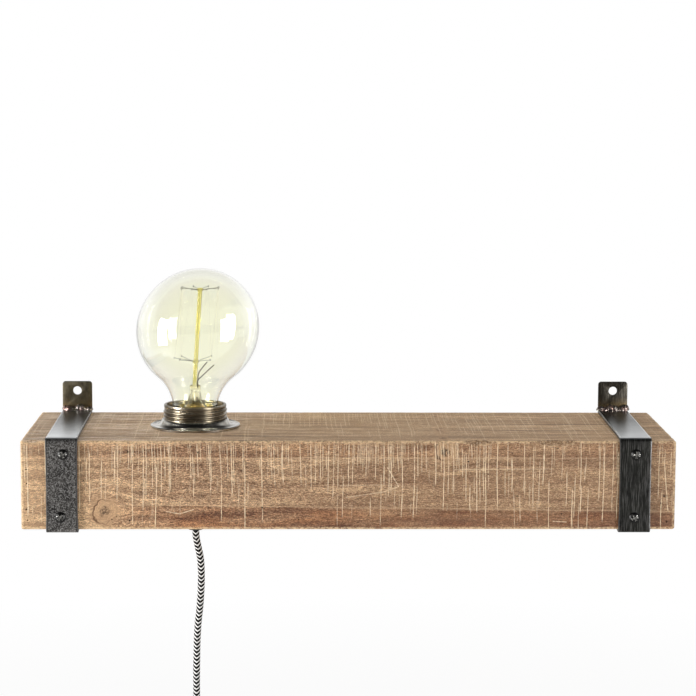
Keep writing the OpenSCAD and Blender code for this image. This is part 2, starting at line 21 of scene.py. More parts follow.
import bmesh
import bpy
import numpy as np
from mathutils import Matrix, Vector, noise

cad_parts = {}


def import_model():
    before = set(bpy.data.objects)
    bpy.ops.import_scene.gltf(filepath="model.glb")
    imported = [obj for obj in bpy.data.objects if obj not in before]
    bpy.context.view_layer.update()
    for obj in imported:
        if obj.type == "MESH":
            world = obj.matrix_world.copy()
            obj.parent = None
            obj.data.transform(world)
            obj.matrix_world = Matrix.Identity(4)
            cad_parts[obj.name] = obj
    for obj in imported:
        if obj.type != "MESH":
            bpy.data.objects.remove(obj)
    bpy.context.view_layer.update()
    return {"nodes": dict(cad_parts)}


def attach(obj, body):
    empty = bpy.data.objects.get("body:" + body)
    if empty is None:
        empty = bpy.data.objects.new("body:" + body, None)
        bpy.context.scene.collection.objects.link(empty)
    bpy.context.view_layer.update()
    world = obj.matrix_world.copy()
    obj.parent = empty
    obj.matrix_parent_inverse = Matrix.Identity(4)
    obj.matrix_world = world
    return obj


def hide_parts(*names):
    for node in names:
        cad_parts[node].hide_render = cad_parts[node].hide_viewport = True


LOG = logging.getLogger("wall_lamp")
MM = 0.001

Point = tuple[float, float, float]
Profile = Sequence[tuple[float, float]]
Piece = bpy.types.Object
Socket = bpy.types.NodeSocket
Value = float | str | tuple[float, ...] | Socket

# Levels and centre lines that several pieces share, as in the part's source
HALF_W = 207.5 * MM
DEPTH = 118 * MM
TOP = -15.2 * MM
UNDER = -72.2 * MM
STRAP_X = 183 * MM
TOE = 1.4 * MM
LAMP_X = -100 * MM
LAMP_Y = -59 * MM
LAMP: Point = (LAMP_X, LAMP_Y, TOP)
CORD_D = 4.6 * MM
E27_PITCH = 3.629 * MM
EXIT: Point = (LAMP_X, LAMP_Y, -84.2 * MM)
SWITCH_AT: Point = (LAMP_X, LAMP_Y, -235.2 * MM)
PLUG_AT: Point = (-81 * MM, -51.2 * MM, -346.2 * MM)

# How near to an axis counts as along it
ALIGNED = 0.9
# How near an edge counts as at a height, a point as on a face, and two points as one
HAIR = 0.01 * MM
ON_FACE = 0.001 * MM
DOUBLED = 0.002 * MM
# The least radius of a turned row, and the least length that anything is divided by
TIP = 0.001 * MM
LEAST = 1e-9
# Radius of the holes that the cord goes through
CORD_HOLE = CORD_D / 2 + 0.2 * MM
# The darkest and the lightest speck of the timber, against its usual colour
SPECKS = (0.5, 1.54)


# ---- colours and nodes ----


def linear(code: str) -> tuple[float, float, float, float]:
    """Turns an sRGB hex colour to linear light.

    Args:
        code: Six hex digits.

    Returns:
        Linear red, green and blue, and an alpha of 1.
    """
    parts = [int(code[i : i + 2], 16) / 255 for i in (0, 2, 4)]
    red, green, blue = (c / 12.92 if c <= 0.04045 else ((c + 0.055) / 1.055) ** 2.4 for c in parts)
    return red, green, blue, 1.0


class Nodes:
    """The nodes of a material or of the world, from an empty tree."""

    def __init__(self, tree: bpy.types.NodeTree) -> None:
        """Clears the tree.

        Args:
            tree: The tree to build in.
        """
        tree.nodes.clear()
        self.tree = tree

    def add(
        self,
        kind: str,
        *inputs: Value | None,
        sockets: Mapping[str, Value] | None = None,
        out: int | str = 0,
        stops: Sequence[tuple[float, str]] = (),
        **settings: object,
    ) -> Socket:
        """Adds a node with its settings and links.

        Args:
            kind: The node's type without its ShaderNode prefix, and its operation after a point.
            *inputs: What goes in the first sockets, in order: a value, a hex colour, a socket to
                link, or None.
            sockets: What goes in other sockets, by name.
            out: The output that is returned, by name or number.
            stops: Places and hex colours of a colour ramp.
            **settings: The node's own settings.

        Returns:
            The chosen output, or the first input of a node that has no outputs.
        """
        kind, _, operation = kind.partition(".")
        node = self.tree.nodes.new("ShaderNode" + kind)
        if operation:
            node.operation = operation
        for name, value in settings.items():
            setattr(node, name, value)
        for key, value in [*enumerate(inputs), *(sockets or {}).items()]:
            if isinstance(value, bpy.types.NodeSocket):
                self.tree.links.new(value, node.inputs[key])
            elif value is not None:
                node.inputs[key].default_value = linear(value) if isinstance(value, str) else value
        for i, (place, code) in enumerate(stops):
            ramp = node.color_ramp.elements
            stop = ramp[i] if i < len(ramp) else ramp.new(place)
            stop.position, stop.color = place, linear(code)
        return node.outputs[out] if node.outputs else node.inputs[0]

    def millimetres(self) -> Socket:
        """Returns the piece's own coordinates, in millimetres."""
        place = self.add("TexCoord", out="Object")
        return self.add("VectorMath.MULTIPLY", place, (1000, 1000, 1000))

    def grains(self, at: Socket, size: Point, detail: float = 2, rough: float = 0.5) -> Socket:
        """Returns noise about 0.5 whose grains have a real size in millimetres, like the place."""
        scaled = self.add("VectorMath.DIVIDE", at, size)
        return self.add("TexNoise", scaled, None, 1, detail, rough)


# ---- modelling ----


def alone(piece: Piece) -> None:
    """Selects one piece, makes it the active one and leaves the others.

    Args:
        piece: The piece.
    """
    bpy.ops.object.select_all(action="DESELECT")
    piece.select_set(True)
    bpy.context.view_layer.objects.active = piece


def new_object(name: str, data: bpy.types.ID) -> Piece:
    """Returns a new object in the scene, with its mesh, curve, camera or lamp."""
    made = bpy.data.objects.new(name, data)
    bpy.context.collection.objects.link(made)
    return made


def twin(piece: Piece, name: str) -> Piece:
    """Returns a copy of a piece with a mesh of its own."""
    made = new_object(name, piece.data.copy())
    made.data.name = name
    return made


@contextmanager
def edit_mode(piece: Piece, part: str = "VERT") -> Iterator[None]:
    """Opens a piece alone in edit mode, with nothing of it selected, and closes it again.

    Args:
        piece: The mesh to shape.
        part: What is selected in it: VERT, EDGE or FACE.

    Yields:
        Nothing.
    """
    alone(piece)
    bpy.ops.object.mode_set(mode="EDIT")
    bpy.ops.mesh.select_mode(type=part)
    bpy.ops.mesh.select_all(action="DESELECT")
    try:
        yield
    finally:
        bpy.ops.object.mode_set(mode="OBJECT")


def pick_edges(piece: Piece, wanted: Callable[[Vector, Vector], bool]) -> None:
    """Selects the edges that pass a test, in edit mode.

    Args:
        piece: The mesh that is open.
        wanted: Told an edge's middle and its direction, says whether it is wanted.
    """
    mesh = bmesh.from_edit_mesh(piece.data)
    for edge in mesh.edges:
        a, b = (v.co for v in edge.verts)
        edge.select_set(wanted((a + b) / 2, (b - a).normalized()))
    mesh.select_flush_mode()
    bmesh.update_edit_mesh(piece.data)


def pick_faces(piece: Piece, towards: Point) -> None:
    """Selects the faces that look one way, in edit mode.

    Args:
        piece: The mesh that is open.
        towards: Which way they look.
    """
    mesh = bmesh.from_edit_mesh(piece.data)
    for face in mesh.faces:
        face.select_set(face.normal.dot(towards) > ALIGNED)
    bmesh.update_edit_mesh(piece.data)


def extrude(way: Point | Vector) -> None:
    """Draws out what is selected in edit mode, by so much along each axis."""
    bpy.ops.mesh.extrude_region_move(TRANSFORM_OT_translate={"value": way})


def runs_along(axis: int) -> Callable[[Vector, Vector], bool]:
    """Returns a test for edges that run along axis 0, 1 or 2."""
    return lambda _middle, way: abs(way[axis]) > ALIGNED


def in_metres(rows: Profile) -> list[tuple[float, float]]:
    """Returns a profile in metres, from one in millimetres."""
    return [(radius * MM, height * MM) for radius, height in rows]


def settle(piece: Piece, name: str) -> Piece:
    """Puts a finished piece's place in its mesh, so that its object sits at the origin.

    Args:
        piece: The piece.
        name: What it is called.

    Returns:
        The piece.
    """
    alone(piece)
    bpy.ops.object.transform_apply(location=True, rotation=True, scale=True)
    piece.name = piece.data.name = name
    return piece


def tidy_mesh(piece: Piece) -> None:
    """Merges doubled points and turns every face outwards.

    Args:
        piece: The mesh.
    """
    with edit_mode(piece):
        bpy.ops.mesh.select_all(action="SELECT")
        bpy.ops.mesh.remove_doubles(threshold=DOUBLED)
        bpy.ops.mesh.delete_loose()
        bpy.ops.mesh.select_all(action="SELECT")
        bpy.ops.mesh.normals_make_consistent(inside=False)


def modify(piece: Piece, kind: str, **settings: object) -> None:
    """Adds a modifier and applies it.

    Args:
        piece: The mesh.
        kind: The modifier's type.
        **settings: Its settings.
    """
    made = piece.modifiers.new(kind.lower(), kind)
    for name, value in settings.items():
        setattr(made, name, value)
    alone(piece)
    bpy.ops.object.modifier_apply(modifier=made.name)


def smooth(piece: Piece, degrees: float = 35) -> None:
    """Shades a piece smooth, with creases over an angle.

    Args:
        piece: The mesh.
        degrees: Edges sharper than this stay creased.
    """
    alone(piece)
    bpy.ops.object.shade_smooth_by_angle(angle=math.radians(degrees))


def block(name: str, low: Point, high: Point) -> Piece:
    """Starts a piece from a cube between two corners.

    Args:
        name: What it is called.
        low: Lowest corner.
        high: Highest corner.

    Returns:
        The cube, to be shaped further.
    """
    middle = [(a + b) / 2 for a, b in zip(low, high)]
    bpy.ops.object.select_all(action="DESELECT")
    bpy.ops.mesh.primitive_cube_add(size=1, location=middle)
    piece = bpy.context.active_object
    piece.scale = [b - a for a, b in zip(low, high)]
    return settle(piece, name)


def lathe(name: str, profile: Profile, centre: Point, sides: int = 96) -> Piece:
    """Turns a profile about an upright axis: a circle that is extruded and resized row by row.

    Args:
        name: What the piece is called.
        profile: Radius and height of each row, from the centre. A closed wall ends where it starts.
        centre: A point on the axis.
        sides: Points round.

    Returns:
        The turned mesh, with its faces outwards.
    """
    radius, height = profile[0]
    radius = max(radius, TIP)
    bpy.ops.object.select_all(action="DESELECT")
    bpy.ops.mesh.primitive_circle_add(vertices=sides, radius=radius, location=(0, 0, height))
    piece = settle(bpy.context.active_object, name)
    with edit_mode(piece):
        bpy.ops.mesh.select_all(action="SELECT")
        for next_radius, next_height in profile[1:]:
            next_radius = max(next_radius, TIP)
            extrude((0, 0, next_height - height))
            spread = next_radius / radius
            bpy.ops.transform.resize(value=(spread, spread, 1), center_override=(0, 0, 0))
            radius, height = next_radius, next_height
        bpy.ops.mesh.select_all(action="SELECT")
        bpy.ops.transform.translate(value=centre)
    tidy_mesh(piece)
    smooth(piece)
    return piece


def cut(piece: Piece, *tools: Piece) -> None:
    """Takes the tools' shapes out of a piece, and removes the tools.

    Args:
        piece: What is cut.
        *tools: Closed meshes.
    """
    for tool in tools:
        modify(piece, "BOOLEAN", operation="DIFFERENCE", object=tool, solver="EXACT")
        bpy.data.objects.remove(tool)


def joined(name: str, pieces: Sequence[Piece]) -> Piece:
    """Joins meshes into one piece.

    Args:
        name: What it is called.
        pieces: The meshes, of which the first one grows.

    Returns:
        The joined piece.
    """
    bpy.ops.object.select_all(action="DESELECT")
    for piece in pieces:
        piece.select_set(True)
    bpy.context.view_layer.objects.active = pieces[0]
    if len(pieces) > 1:
        bpy.ops.object.join()
    return settle(pieces[0], name)


def points_of(piece: Piece) -> np.ndarray:
    """Reads a mesh's points.

    Args:
        piece: The mesh.

    Returns:
        One row of X, Y and Z for each point.
    """
    flat = np.zeros(len(piece.data.vertices) * 3, np.float32)
    piece.data.vertices.foreach_get("co", flat)
    return flat.reshape(-1, 3).astype(float)


def place_points(piece: Piece, points: np.ndarray) -> None:
    """Moves a mesh's points, given one row of X, Y and Z for each."""
    piece.data.vertices.foreach_set("co", points.astype(np.float32).ravel())
    piece.data.update()


def mark(piece: Piece, name: str, values: np.ndarray) -> None:
    """Stores a number at each point of a mesh as an attribute, for its finish to read."""
    made = piece.data.attributes.new(name, "FLOAT", "POINT")
    made.data.foreach_set("value", values.astype(np.float32))


def waver(points: np.ndarray, size: float, seed: float = 0) -> np.ndarray:
    """Reads smooth noise at each point.

    Args:
        points: One row of X, Y and Z for each point.
        size: How far apart its swells are, along all three or each axis.
        seed: Which noise.

    Returns:
        A number from about -1 to 1 for each point.
    """
    scaled = points / np.asarray(size) + seed
    return np.array([noise.noise(p) for p in scaled.tolist()])


def rod(name: str, points: Sequence[Point | Vector], radius: float, sides: int = 8) -> Piece:
    """Bends a round rod or wire along points, with its ends closed.

    Args:
        name: What it is called.
        points: The middle line.
        radius: The rod's radius.
        sides: Points round.

    Returns:
        The rod as a mesh.
    """
    curve = bpy.data.curves.new(name, "CURVE")
    curve.dimensions = "3D"
    curve.bevel_depth = radius
    curve.bevel_resolution = max(0, sides // 4 - 1)
    curve.use_fill_caps = True
    line = curve.splines.new("POLY")
    line.points.add(len(points) - 1)
    line.points.foreach_set("co", [c for p in points for c in (*p, 1)])
    piece = new_object(name, curve)
    alone(piece)
    bpy.ops.object.convert(target="MESH")
    tidy_mesh(piece)
    smooth(piece, 60)
    return piece


def through(points: Sequence[Point | Vector], step: float) -> list[Vector]:
    """Draws one smooth line through points.

    Args:
        points: What it goes through.
        step: About how far apart the line's own points are.

    Returns:
        The line's points.
    """
    ends = [Vector(p) for p in points]
    ends = [2 * ends[0] - ends[1], *ends, 2 * ends[-1] - ends[-2]]
    line: list[Vector] = []
    for a, b, c, d in zip(ends, ends[1:], ends[2:], ends[3:]):
        count = max(1, round((c - b).length / step))
        for i in range(count):
            t = i / count
            line.append(
                0.5
                * (2 * b + (c - a) * t + (2 * a - 5 * b + 4 * c - d) * t**2
                   + (3 * b - a - 3 * c + d) * t**3)
            )
    return [*line, ends[-2].copy()]


def fit_to(
    piece: Piece,
    body: str,
    slot: str,
    *nodes: str,
    finish: Finish | None = None,
    crease: float = 40,
) -> Piece:
    """Smooths a piece, hangs it on a CAD body and hides the CAD nodes that it replaces.

    Args:
        piece: The piece.
        body: The body that carries it.
        slot: The record's material slot; not used.
        *nodes: The CAD nodes that it replaces.
        finish: Its finish, where it has none yet.
        crease: Edges sharper than this, in degrees, stay creased.

    Returns:
        The piece.
    """
    smooth(piece, crease)
    if finish:
        finish.on(piece)
    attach(piece, body)
    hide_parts(*nodes)
    LOG.info("%s rides on %s", piece.name, body)
    return piece


def placed(piece: Piece, matrix: Matrix) -> Piece:
    """Moves and turns a piece, keeps its object at the origin, and returns it."""
    piece.matrix_world = matrix
    return settle(piece, piece.name)


def drum(start: Point, end: Point, radius: float, sides: int = 48) -> Piece:
    """Makes a round tool to cut or add with.

    Args:
        start: Middle of one end.
        end: Middle of the other.
        radius: Its radius.
        sides: Points round.

    Returns:
        The tool.
    """
    a, b = Vector(start), Vector(end)
    bpy.ops.object.select_all(action="DESELECT")
    bpy.ops.mesh.primitive_cylinder_add(vertices=sides, radius=radius, depth=(b - a).length)
    turn = (b - a).to_track_quat("Z", "Y").to_matrix().to_4x4()
    return placed(bpy.context.active_object, Matrix.Translation((a + b) / 2) @ turn)


def fuse(piece: Piece, *others: Piece) -> None:
    """Makes one closed skin of a piece and others that it overlaps, and removes those.

    Args:
        piece: What the others go into.
        *others: Closed meshes.
    """
    for other in others:
        modify(piece, "BOOLEAN", operation="UNION", object=other, solver="EXACT")
        bpy.data.objects.remove(other)


def soften(piece: Piece, width: float, segments: int = 2, degrees: float = 40) -> None:
    """Rounds the edges of a piece that are sharper than an angle."""
    modify(
        piece, "BEVEL", width=width, segments=segments, limit_method="ANGLE",
        angle_limit=math.radians(degrees), use_clamp_overlap=True,
    )


def shave(piece: Piece, at: Point, outward: Point) -> None:
    """Cuts a piece flat and closes the cut.

    Args:
        piece: The mesh.
        at: A point of the plane.
        outward: Which side goes.
    """
    with edit_mode(piece):
        bpy.ops.mesh.select_all(action="SELECT")
        bpy.ops.mesh.bisect(
            plane_co=at, plane_no=outward, clear_outer=True, use_fill=True, threshold=1e-7
        )


def helix(
    piece: Piece,
    centre: Point,
    span: tuple[float, float],
    rise: Callable[[np.ndarray, np.ndarray], np.ndarray],
) -> None:
    """Pushes the points of a turned piece out by a thread.

    Args:
        piece: The turned piece.
        centre: A point on its axis.
        span: Heights from the centre between which the thread runs.
        rise: Told heights from the centre and radii, and turns, gives what is added to the radii.
    """
    points = points_of(piece) - np.asarray(centre)
    radius = np.hypot(points[:, 0], points[:, 1])
    turn = np.arctan2(points[:, 1], points[:, 0]) / math.tau
    low, high = span
    height = points[:, 2]
    fade = np.clip(np.minimum(height - low, high - height) / (1.2 * MM), 0, 1)
    grown = radius + fade * rise(np.stack([height, radius]), turn)
    points[:, :2] *= (grown / np.maximum(radius, LEAST))[:, None]
    place_points(piece, points + np.asarray(centre))


# ---- finishes ----


@dataclass(frozen=True)
class Finish:
    """A material's name, and the way from its nodes to Blender's material.

    Attributes:
        name: What it is called.
    """

    name: str

    def shade(self, n: Nodes) -> Socket:
        """Builds the finish.

        Args:
            n: Where its nodes go.

        Returns:
            The shader.
        """
        raise NotImplementedError

    def material(self) -> bpy.types.Material:
        """Returns the finish as a material, built once."""
        name = "finish_" + self.name
        made = bpy.data.materials.get(name)
        if made is None:
            made = bpy.data.materials.new(name)
            made.use_nodes = True
            n = Nodes(made.node_tree)
            n.add("OutputMaterial", self.shade(n))
        return made

    def on(self, *pieces: Piece) -> None:
        """Gives pieces this finish all over.

        Args:
            *pieces: New pieces or CAD nodes.
        """
        for piece in pieces:
            piece.data.materials.clear()
            piece.data.materials.append(self.material())


@dataclass(frozen=True)
class Worked(Finish):
    """Cast, turned, moulded or plated stuff: two tones that drift, and a fine grain in the surface.

    Attributes:
        dark: Hex colour of its darker patches.
        light: Hex colour of its lighter ones.
        metallic: 1 for bare metal.
        roughness: How matt it is on the whole.
        patch: Size of the patches, in millimetres.
        grain: Size of a grain along X, Y and Z, in millimetres.
        depth: How deep the grain is, in millimetres.
        spread: How far the roughness goes either way with the grain.
    """

    dark: str = "808080"
    light: str = "909090"
    metallic: float = 0
    roughness: float = 0.5
    patch: float = 6
    grain: Point = (0.3, 0.3, 0.3)
    depth: float = 0.01
    spread: float = 0.08

    def shade(self, n: Nodes) -> Socket:
        """Builds the finish.

        Args:
            n: Where its nodes go.

        Returns:
            The shader.
        """
        at = n.millimetres()
        patches = n.add("MapRange", n.grains(at, (self.patch,) * 3, 3), 0.3, 0.7)
        grain = n.grains(at, self.grain, 3)
        tone = n.add("MixRGB", patches, self.dark, self.light)
        least, most = self.roughness - self.spread, self.roughness + self.spread
        matt = n.add("MapRange", grain, 0.25, 0.75, least, most)
        relief = n.add("Bump", 1.0, self.depth * MM, None, grain)
        return n.add("BsdfPrincipled", tone, self.metallic, matt, sockets={"Normal": relief})


# Glazed electrical porcelain: off-white, with a soft gloss and the odd darker speck.
PORCELAIN = Worked("glazed_porcelain", "d9d3c4", "ece7db", 0, 0.22, 4, (0.8, 0.8, 0.8), 0.01)
# Drawn brass that has been handled: a brownish yellow with duller patches.
BRASS = Worked("drawn_brass", "8f7238", "c8a45a", 1, 0.34, 3, (0.2, 0.2, 1.5), 0.006)
# Zinc plate on steel: a cool grey with faint crystals.
ZINC = Worked("zinc_plate", "8d9296", "b4b8ba", 1, 0.36, 2, (0.5, 0.5, 0.5), 0.006)
# Moulded black plastic: spark-eroded mould texture, drawn coarser than real so that it shows.
BLACK_PLASTIC = Worked("moulded_black", "141414", "1d1d1e", 0, 0.48, 9, (0.35, 0.35, 0.35), 0.02)
# Black rubber of the coil's tie: matt and slightly dusty.
RUBBER = Worked("tie_rubber", "161616", "26262a", 0, 0.72, 5, (0.5, 0.5, 0.5), 0.03)
# Phosphated steel screws: near black, with a dull oily shine.
BLACK_SCREW = Worked("phosphated_steel", "0d0d0d", "232220", 0.7, 0.36, 1.4, (0.3, 0.3, 0.3), 0.02)
# The same screws where a driver has worn the recess bare, painted pale also for the glints in its cross.
RUBBED_RECESS_GLINTS = Worked("rubbed_recess_glints", "55534f", "b5b3ae", 0.9, 0.34, 0.7, (0.3, 0.3, 0.3), 0.02)
# Nickel plate of the plug's pins: bright, with fine lengthwise draw marks.
PIN_METAL = Worked("nickel_pins", "a8a59d", "d0cdc6", 1, 0.22, 3, (0.12, 0.12, 2.5), 0.004)
# Aluminium bulb cap, brassed: pale gold and soft.
CAP_METAL = Worked("bulb_cap_metal", "a89562", "cdbd8c", 1, 0.3, 4, (0.4, 0.4, 0.4), 0.006)
# Basing cement: tan and gritty.
CEMENT = Worked("basing_cement", "b08f58", "d6bb84", 0, 0.85, 1, (0.3, 0.3, 0.3), 0.04)
# Black glass round the bulb's contact: glossy, with flow marks.
BLACK_GLASS = Worked("black_glass", "08080a", "15151a", 0, 0.14, 3, (2, 2, 2), 0.02)
# Solder dab: dull silver with a wrinkled skin.
SOLDER = Worked("solder", "8e8f90", "bcbdbe", 1, 0.32, 1, (0.6, 0.6, 0.6), 0.04)
# Molybdenum wire of the stars and leads, gone dark in the flame: dull, with a faint metal shine.
DARK_WIRE = Worked("dark_wire", "2b281f", "4a4536", 0.5, 0.5, 2, (0.2, 0.2, 0.2), 0.004)
# Carbon filament: brown-grey and matt, so fine that the eye hardly finds it.
CARBON = Worked("carbon_thread", "8a806a", "aaa088", 0.1, 0.6, 2, (0.2, 0.2, 0.2), 0.004)
# PVC insulation of the two cores, soft and a little shiny.
BROWN_PVC = Worked("pvc_brown", "4f2a14", "6b3a1d", 0, 0.42, 4, (0.4, 0.4, 0.4), 0.01)
BLUE_PVC = Worked("pvc_blue", "1d4b94", "2c62b4", 0, 0.42, 4, (0.4, 0.4, 0.4), 0.01)


@dataclass(frozen=True)
class AgedNickel(Finish):
    """Nickel plate on turned brass: clouded by tarnish, with fine marks left by turning.

    Attributes:
        deep: Hex colour where it is most tarnished.
        usual: Hex colour of most of it.
        bright: Hex colour where it is least tarnished.
        roughness: How rough it is where it is most tarnished.
        centre: The axis that it was turned about, in millimetres.
    """

    deep: str = "4c4336"
    usual: str = "6e6452"
    bright: str = "948b7b"
    roughness: float = 0.36
    centre: tuple[float, float] = (LAMP_X / MM, LAMP_Y / MM)

    def shade(self, n: Nodes) -> Socket:
        """Builds the finish.

        Args:
            n: Where its nodes go.

        Returns:
            The shader.
        """
        at = n.millimetres()
        shifted = n.add("VectorMath.SUBTRACT", at, (self.centre[0], self.centre[1], 0))
        flat = n.add("VectorMath.MULTIPLY", shifted, (1, 1, 0))
        radius = n.add("VectorMath.LENGTH", flat, out="Value")
        height = n.add("SeparateXYZ", at, out="Z")
        turned = n.add("CombineXYZ", radius, height, 0.0)
        lines = n.grains(turned, (0.25, 0.25, 1), 2, 0.5)
        tarnish = n.grains(at, (9, 9, 4), 3, 0.5)
        stops = [(0.32, self.deep), (0.5, self.usual), (0.66, self.bright)]
        tone = n.add("ValToRGB", tarnish, stops=stops)
        tone = n.add("MixRGB", n.add("MapRange", lines, 0.4, 0.7, 0, 0.2), tone, "bcb5a6")
        matt = n.add("MapRange", tarnish, 0.3, 0.7, self.roughness, self.roughness * 0.65)
        relief = n.add("Bump", 1.0, 0.002 * MM, None, lines)
        return n.add("BsdfPrincipled", tone, 1.0, matt, sockets={"Normal": relief})


# The sleeve's plate has gone a warm brown, and the ring's has kept a cooler grey.
SLEEVE_NICKEL = AgedNickel("sleeve_nickel")
RING_NICKEL = AgedNickel("ring_nickel", "85817a", "aeaaa2", "c9c7c0", 0.2)


class Surfacing(Enum):
    """How a strap's front was left: pebbled by the rolls, or brushed downwards."""

    PEBBLED = "pebbled"
    BRUSHED = "brushed"


@dataclass(frozen=True)
class StrapSteel(Finish):
    """Blackened flat bar: charcoal scale, low shine, edges worn bright, a painted sheen on top and painted
    shade at front edges.

    Attributes:
        surfacing: How its front was left.
        dark: Hex colour of the scale.
        light: Hex colour of its thinner places.
        wear_and_sheen: How pale its top leg is painted towards the front: a painted sheen.
    """

    surfacing: Surfacing = Surfacing.PEBBLED
    dark: str = "262524"
    light: str = "4a4846"
    wear_and_sheen: float = 0.5

    def shade(self, n: Nodes) -> Socket:
        """Builds the finish.

        Args:
            n: Where its nodes go.

        Returns:
            The shader.
        """
        at = n.millimetres()
        pebbled = self.surfacing is Surfacing.PEBBLED
        size = (0.7, 0.7, 0.7) if pebbled else (0.35, 9, 9)
        texture = n.grains(at, size, 3, 0.6)
        cloud = n.grains(at, (9, 14, 14), 3, 0.55)
        x, y, _ = n.add("SeparateXYZ", at).node.outputs
        toed = n.add("MapRange", y, 0, -DEPTH / MM, STRAP_X / MM, (STRAP_X - TOE) / MM)
        across = n.add("Math.SUBTRACT", n.add("Math.ABSOLUTE", x), toed)
        across = n.add("Math.ABSOLUTE", across)
        nibble = n.grains(at, (1.2, 1.2, 1.2), 3)
        ragged = n.add("Math.ADD", across, n.add("MapRange", nibble, 0.2, 0.8, -0.35, 0.35))
        facing = n.add("SeparateXYZ", n.add("NewGeometry", out="Normal"), out="Z")
        lying = n.add("MapRange", facing, 0.75, 0.95)
        worn = n.add("MapRange", lying, 0, 1, 0.15, 1)
        worn = n.add("Math.MULTIPLY", n.add("MapRange", ragged, 9.2, 9.75), worn)
        # The top leg is painted near white towards the front: a painted sheen.
        forward = n.add("MapRange", y, -48, -116)
        wear_and_sheen = n.add("Math.MULTIPLY", forward, n.add("MapRange", cloud, 0.25, 0.7, 0.75, 1.0))
        wear_and_sheen = n.add("Math.MULTIPLY", n.add("Math.MULTIPLY", wear_and_sheen, lying), self.wear_and_sheen)
        scale = n.add("MixRGB", n.add("MapRange", cloud, 0.3, 0.7), self.dark, self.light)
        share = 0.8 if pebbled else 0.2
        flecked = n.add("MixRGB", n.add("MapRange", texture, 0.5, 0.64, 0, share), scale, "a3a19f")
        pits = n.add("MapRange", texture, 0.48, 0.38, 0, share)
        flecked = n.add("MixRGB", pits, flecked, "131211")
        # A dark line along the front legs' edges: painted shade.
        rim = n.add("MapRange", lying, 0, 1, n.add("MapRange", ragged, 8.7, 9.3, 0, 0.8), 0.0)
        flecked = n.add("MixRGB", rim, flecked, "121110")
        tone = n.add("MixRGB", wear_and_sheen, flecked, "eef1f3")
        tone = n.add("MixRGB", worn, tone, "c3c3c2")
        matt = n.add("MapRange", lying, 0, 1, n.add("MapRange", texture, 0.3, 0.7, 0.5, 0.36), 0.3)
        matt = n.add("Math.SUBTRACT", matt, n.add("Math.MULTIPLY", worn, 0.12))
        relief = n.add("Bump", 1.0, (0.05 if pebbled else 0.02) * MM, None, texture)
        return n.add("BsdfPrincipled", tone, 0.85, matt, sockets={"Normal": relief})


@dataclass(frozen=True)
class TabSteel(Finish):
    """Raw bar near a weld: olive brown heat scale, fading to straw and a blush near the bead.

    Attributes:
        dark: Hex colour of the scale.
        light: Hex colour of its thinner places.
    """

    dark: str = "37322a"
    light: str = "6d675b"

    def shade(self, n: Nodes) -> Socket:
        """Builds the finish.

        Args:
            n: Where its nodes go.

        Returns:
            The shader.
        """
        at = n.millimetres()
        cloud = n.grains(at, (5, 5, 7), 4, 0.6)
        brushed = n.grains(at, (0.3, 0.3, 7), 2)
        tone = n.add("MixRGB", n.add("MapRange", cloud, 0.32, 0.68), self.dark, self.light)
        tone = n.add("MixRGB", n.add("MapRange", brushed, 0.5, 0.8, 0, 0.4), tone, "8f8a80")
        above = n.add("Math.SUBTRACT", n.add("SeparateXYZ", at, out="Z"), TOP / MM)
        heat = n.add("Math.ADD", above, n.add("MapRange", cloud, 0.2, 0.8, -2, 2))
        stops = [(0.0, "8b5f5c"), (0.35, "8f7a52"), (1.0, "5d574d")]
        blush = n.add("ValToRGB", n.add("MapRange", heat, 2, 12), stops=stops)
        tone = n.add("MixRGB", n.add("MapRange", heat, 3, 11, 0.55, 0), tone, blush)
        matt = n.add("MapRange", cloud, 0.3, 0.7, 0.5, 0.34)
        relief = n.add("Bump", 1.0, 0.02 * MM, None, brushed)
        return n.add("BsdfPrincipled", tone, 0.8, matt, sockets={"Normal": relief})


@dataclass(frozen=True)
class WeldMetal(Finish):
    """Weld bead brushed off: grey lumps with bright tops, dark pits and a little heat colour."""

    def shade(self, n: Nodes) -> Socket:
        """Builds the finish.

        Args:
            n: Where its nodes go.

        Returns:
            The shader.
        """
        at = n.millimetres()
        lumps = n.grains(at, (1.3, 1.3, 1.3), 4, 0.6)
        heat = n.grains(at, (7, 7, 7), 2)
        stops = [(0.3, "2a2622"), (0.48, "6e6862"), (0.66, "bdb8b1")]
        tone = n.add("ValToRGB", lumps, stops=stops)
        tone = n.add("MixRGB", n.add("MapRange", heat, 0.45, 0.7, 0, 0.45), tone, "a9736c")
        matt = n.add("MapRange", lumps, 0.3, 0.7, 0.5, 0.22)
        relief = n.add("Bump", 1.0, 0.15 * MM, None, lumps)
        return n.add("BsdfPrincipled", tone, 0.9, matt, sockets={"Normal": relief})


@dataclass(frozen=True)
class BulbGlass(Finish):
    """Blown soda-lime glass with a tint: clear, mirror smooth, and it lets the lamps' light through.

    Attributes:
        tint: Hex colour of one wall.
        outline: Hex colour where the eye looks along the wall: a painted dark rim.
    """

    tint: str = "f6efd6"
    outline: str = "cfd1c6"

    def shade(self, n: Nodes) -> Socket:
        """Builds the finish.

        Args:
            n: Where its nodes go.

        Returns:
            The shader.
        """
        tone = self.tone(n)
        glass = n.add("BsdfPrincipled", tone, 0.0, 0.0, 1.5, sockets={"Transmission Weight": 1.0})
        open_air = n.add("BsdfTransparent", tone)
        return n.add("MixShader", n.add("LightPath", out="Is Shadow Ray"), glass, open_air)

    def tone(self, n: Nodes) -> Socket:
        """Returns the glass's colour: tinted, clearer towards its outline as a painted reflection, and dark
        at the very rim as painted shade.
        """
        facing = n.add("LayerWeight", 0.5, out="Facing")
        # Paler towards the outline: a painted reflection.
        tone = n.add("MixRGB", n.add("MapRange", facing, 0.12, 0.6), self.tint, "ffffff")
        # Darker at the very rim: painted shade.
        return n.add("MixRGB", n.add("MapRange", facing, 0.93, 1), tone, self.outline)


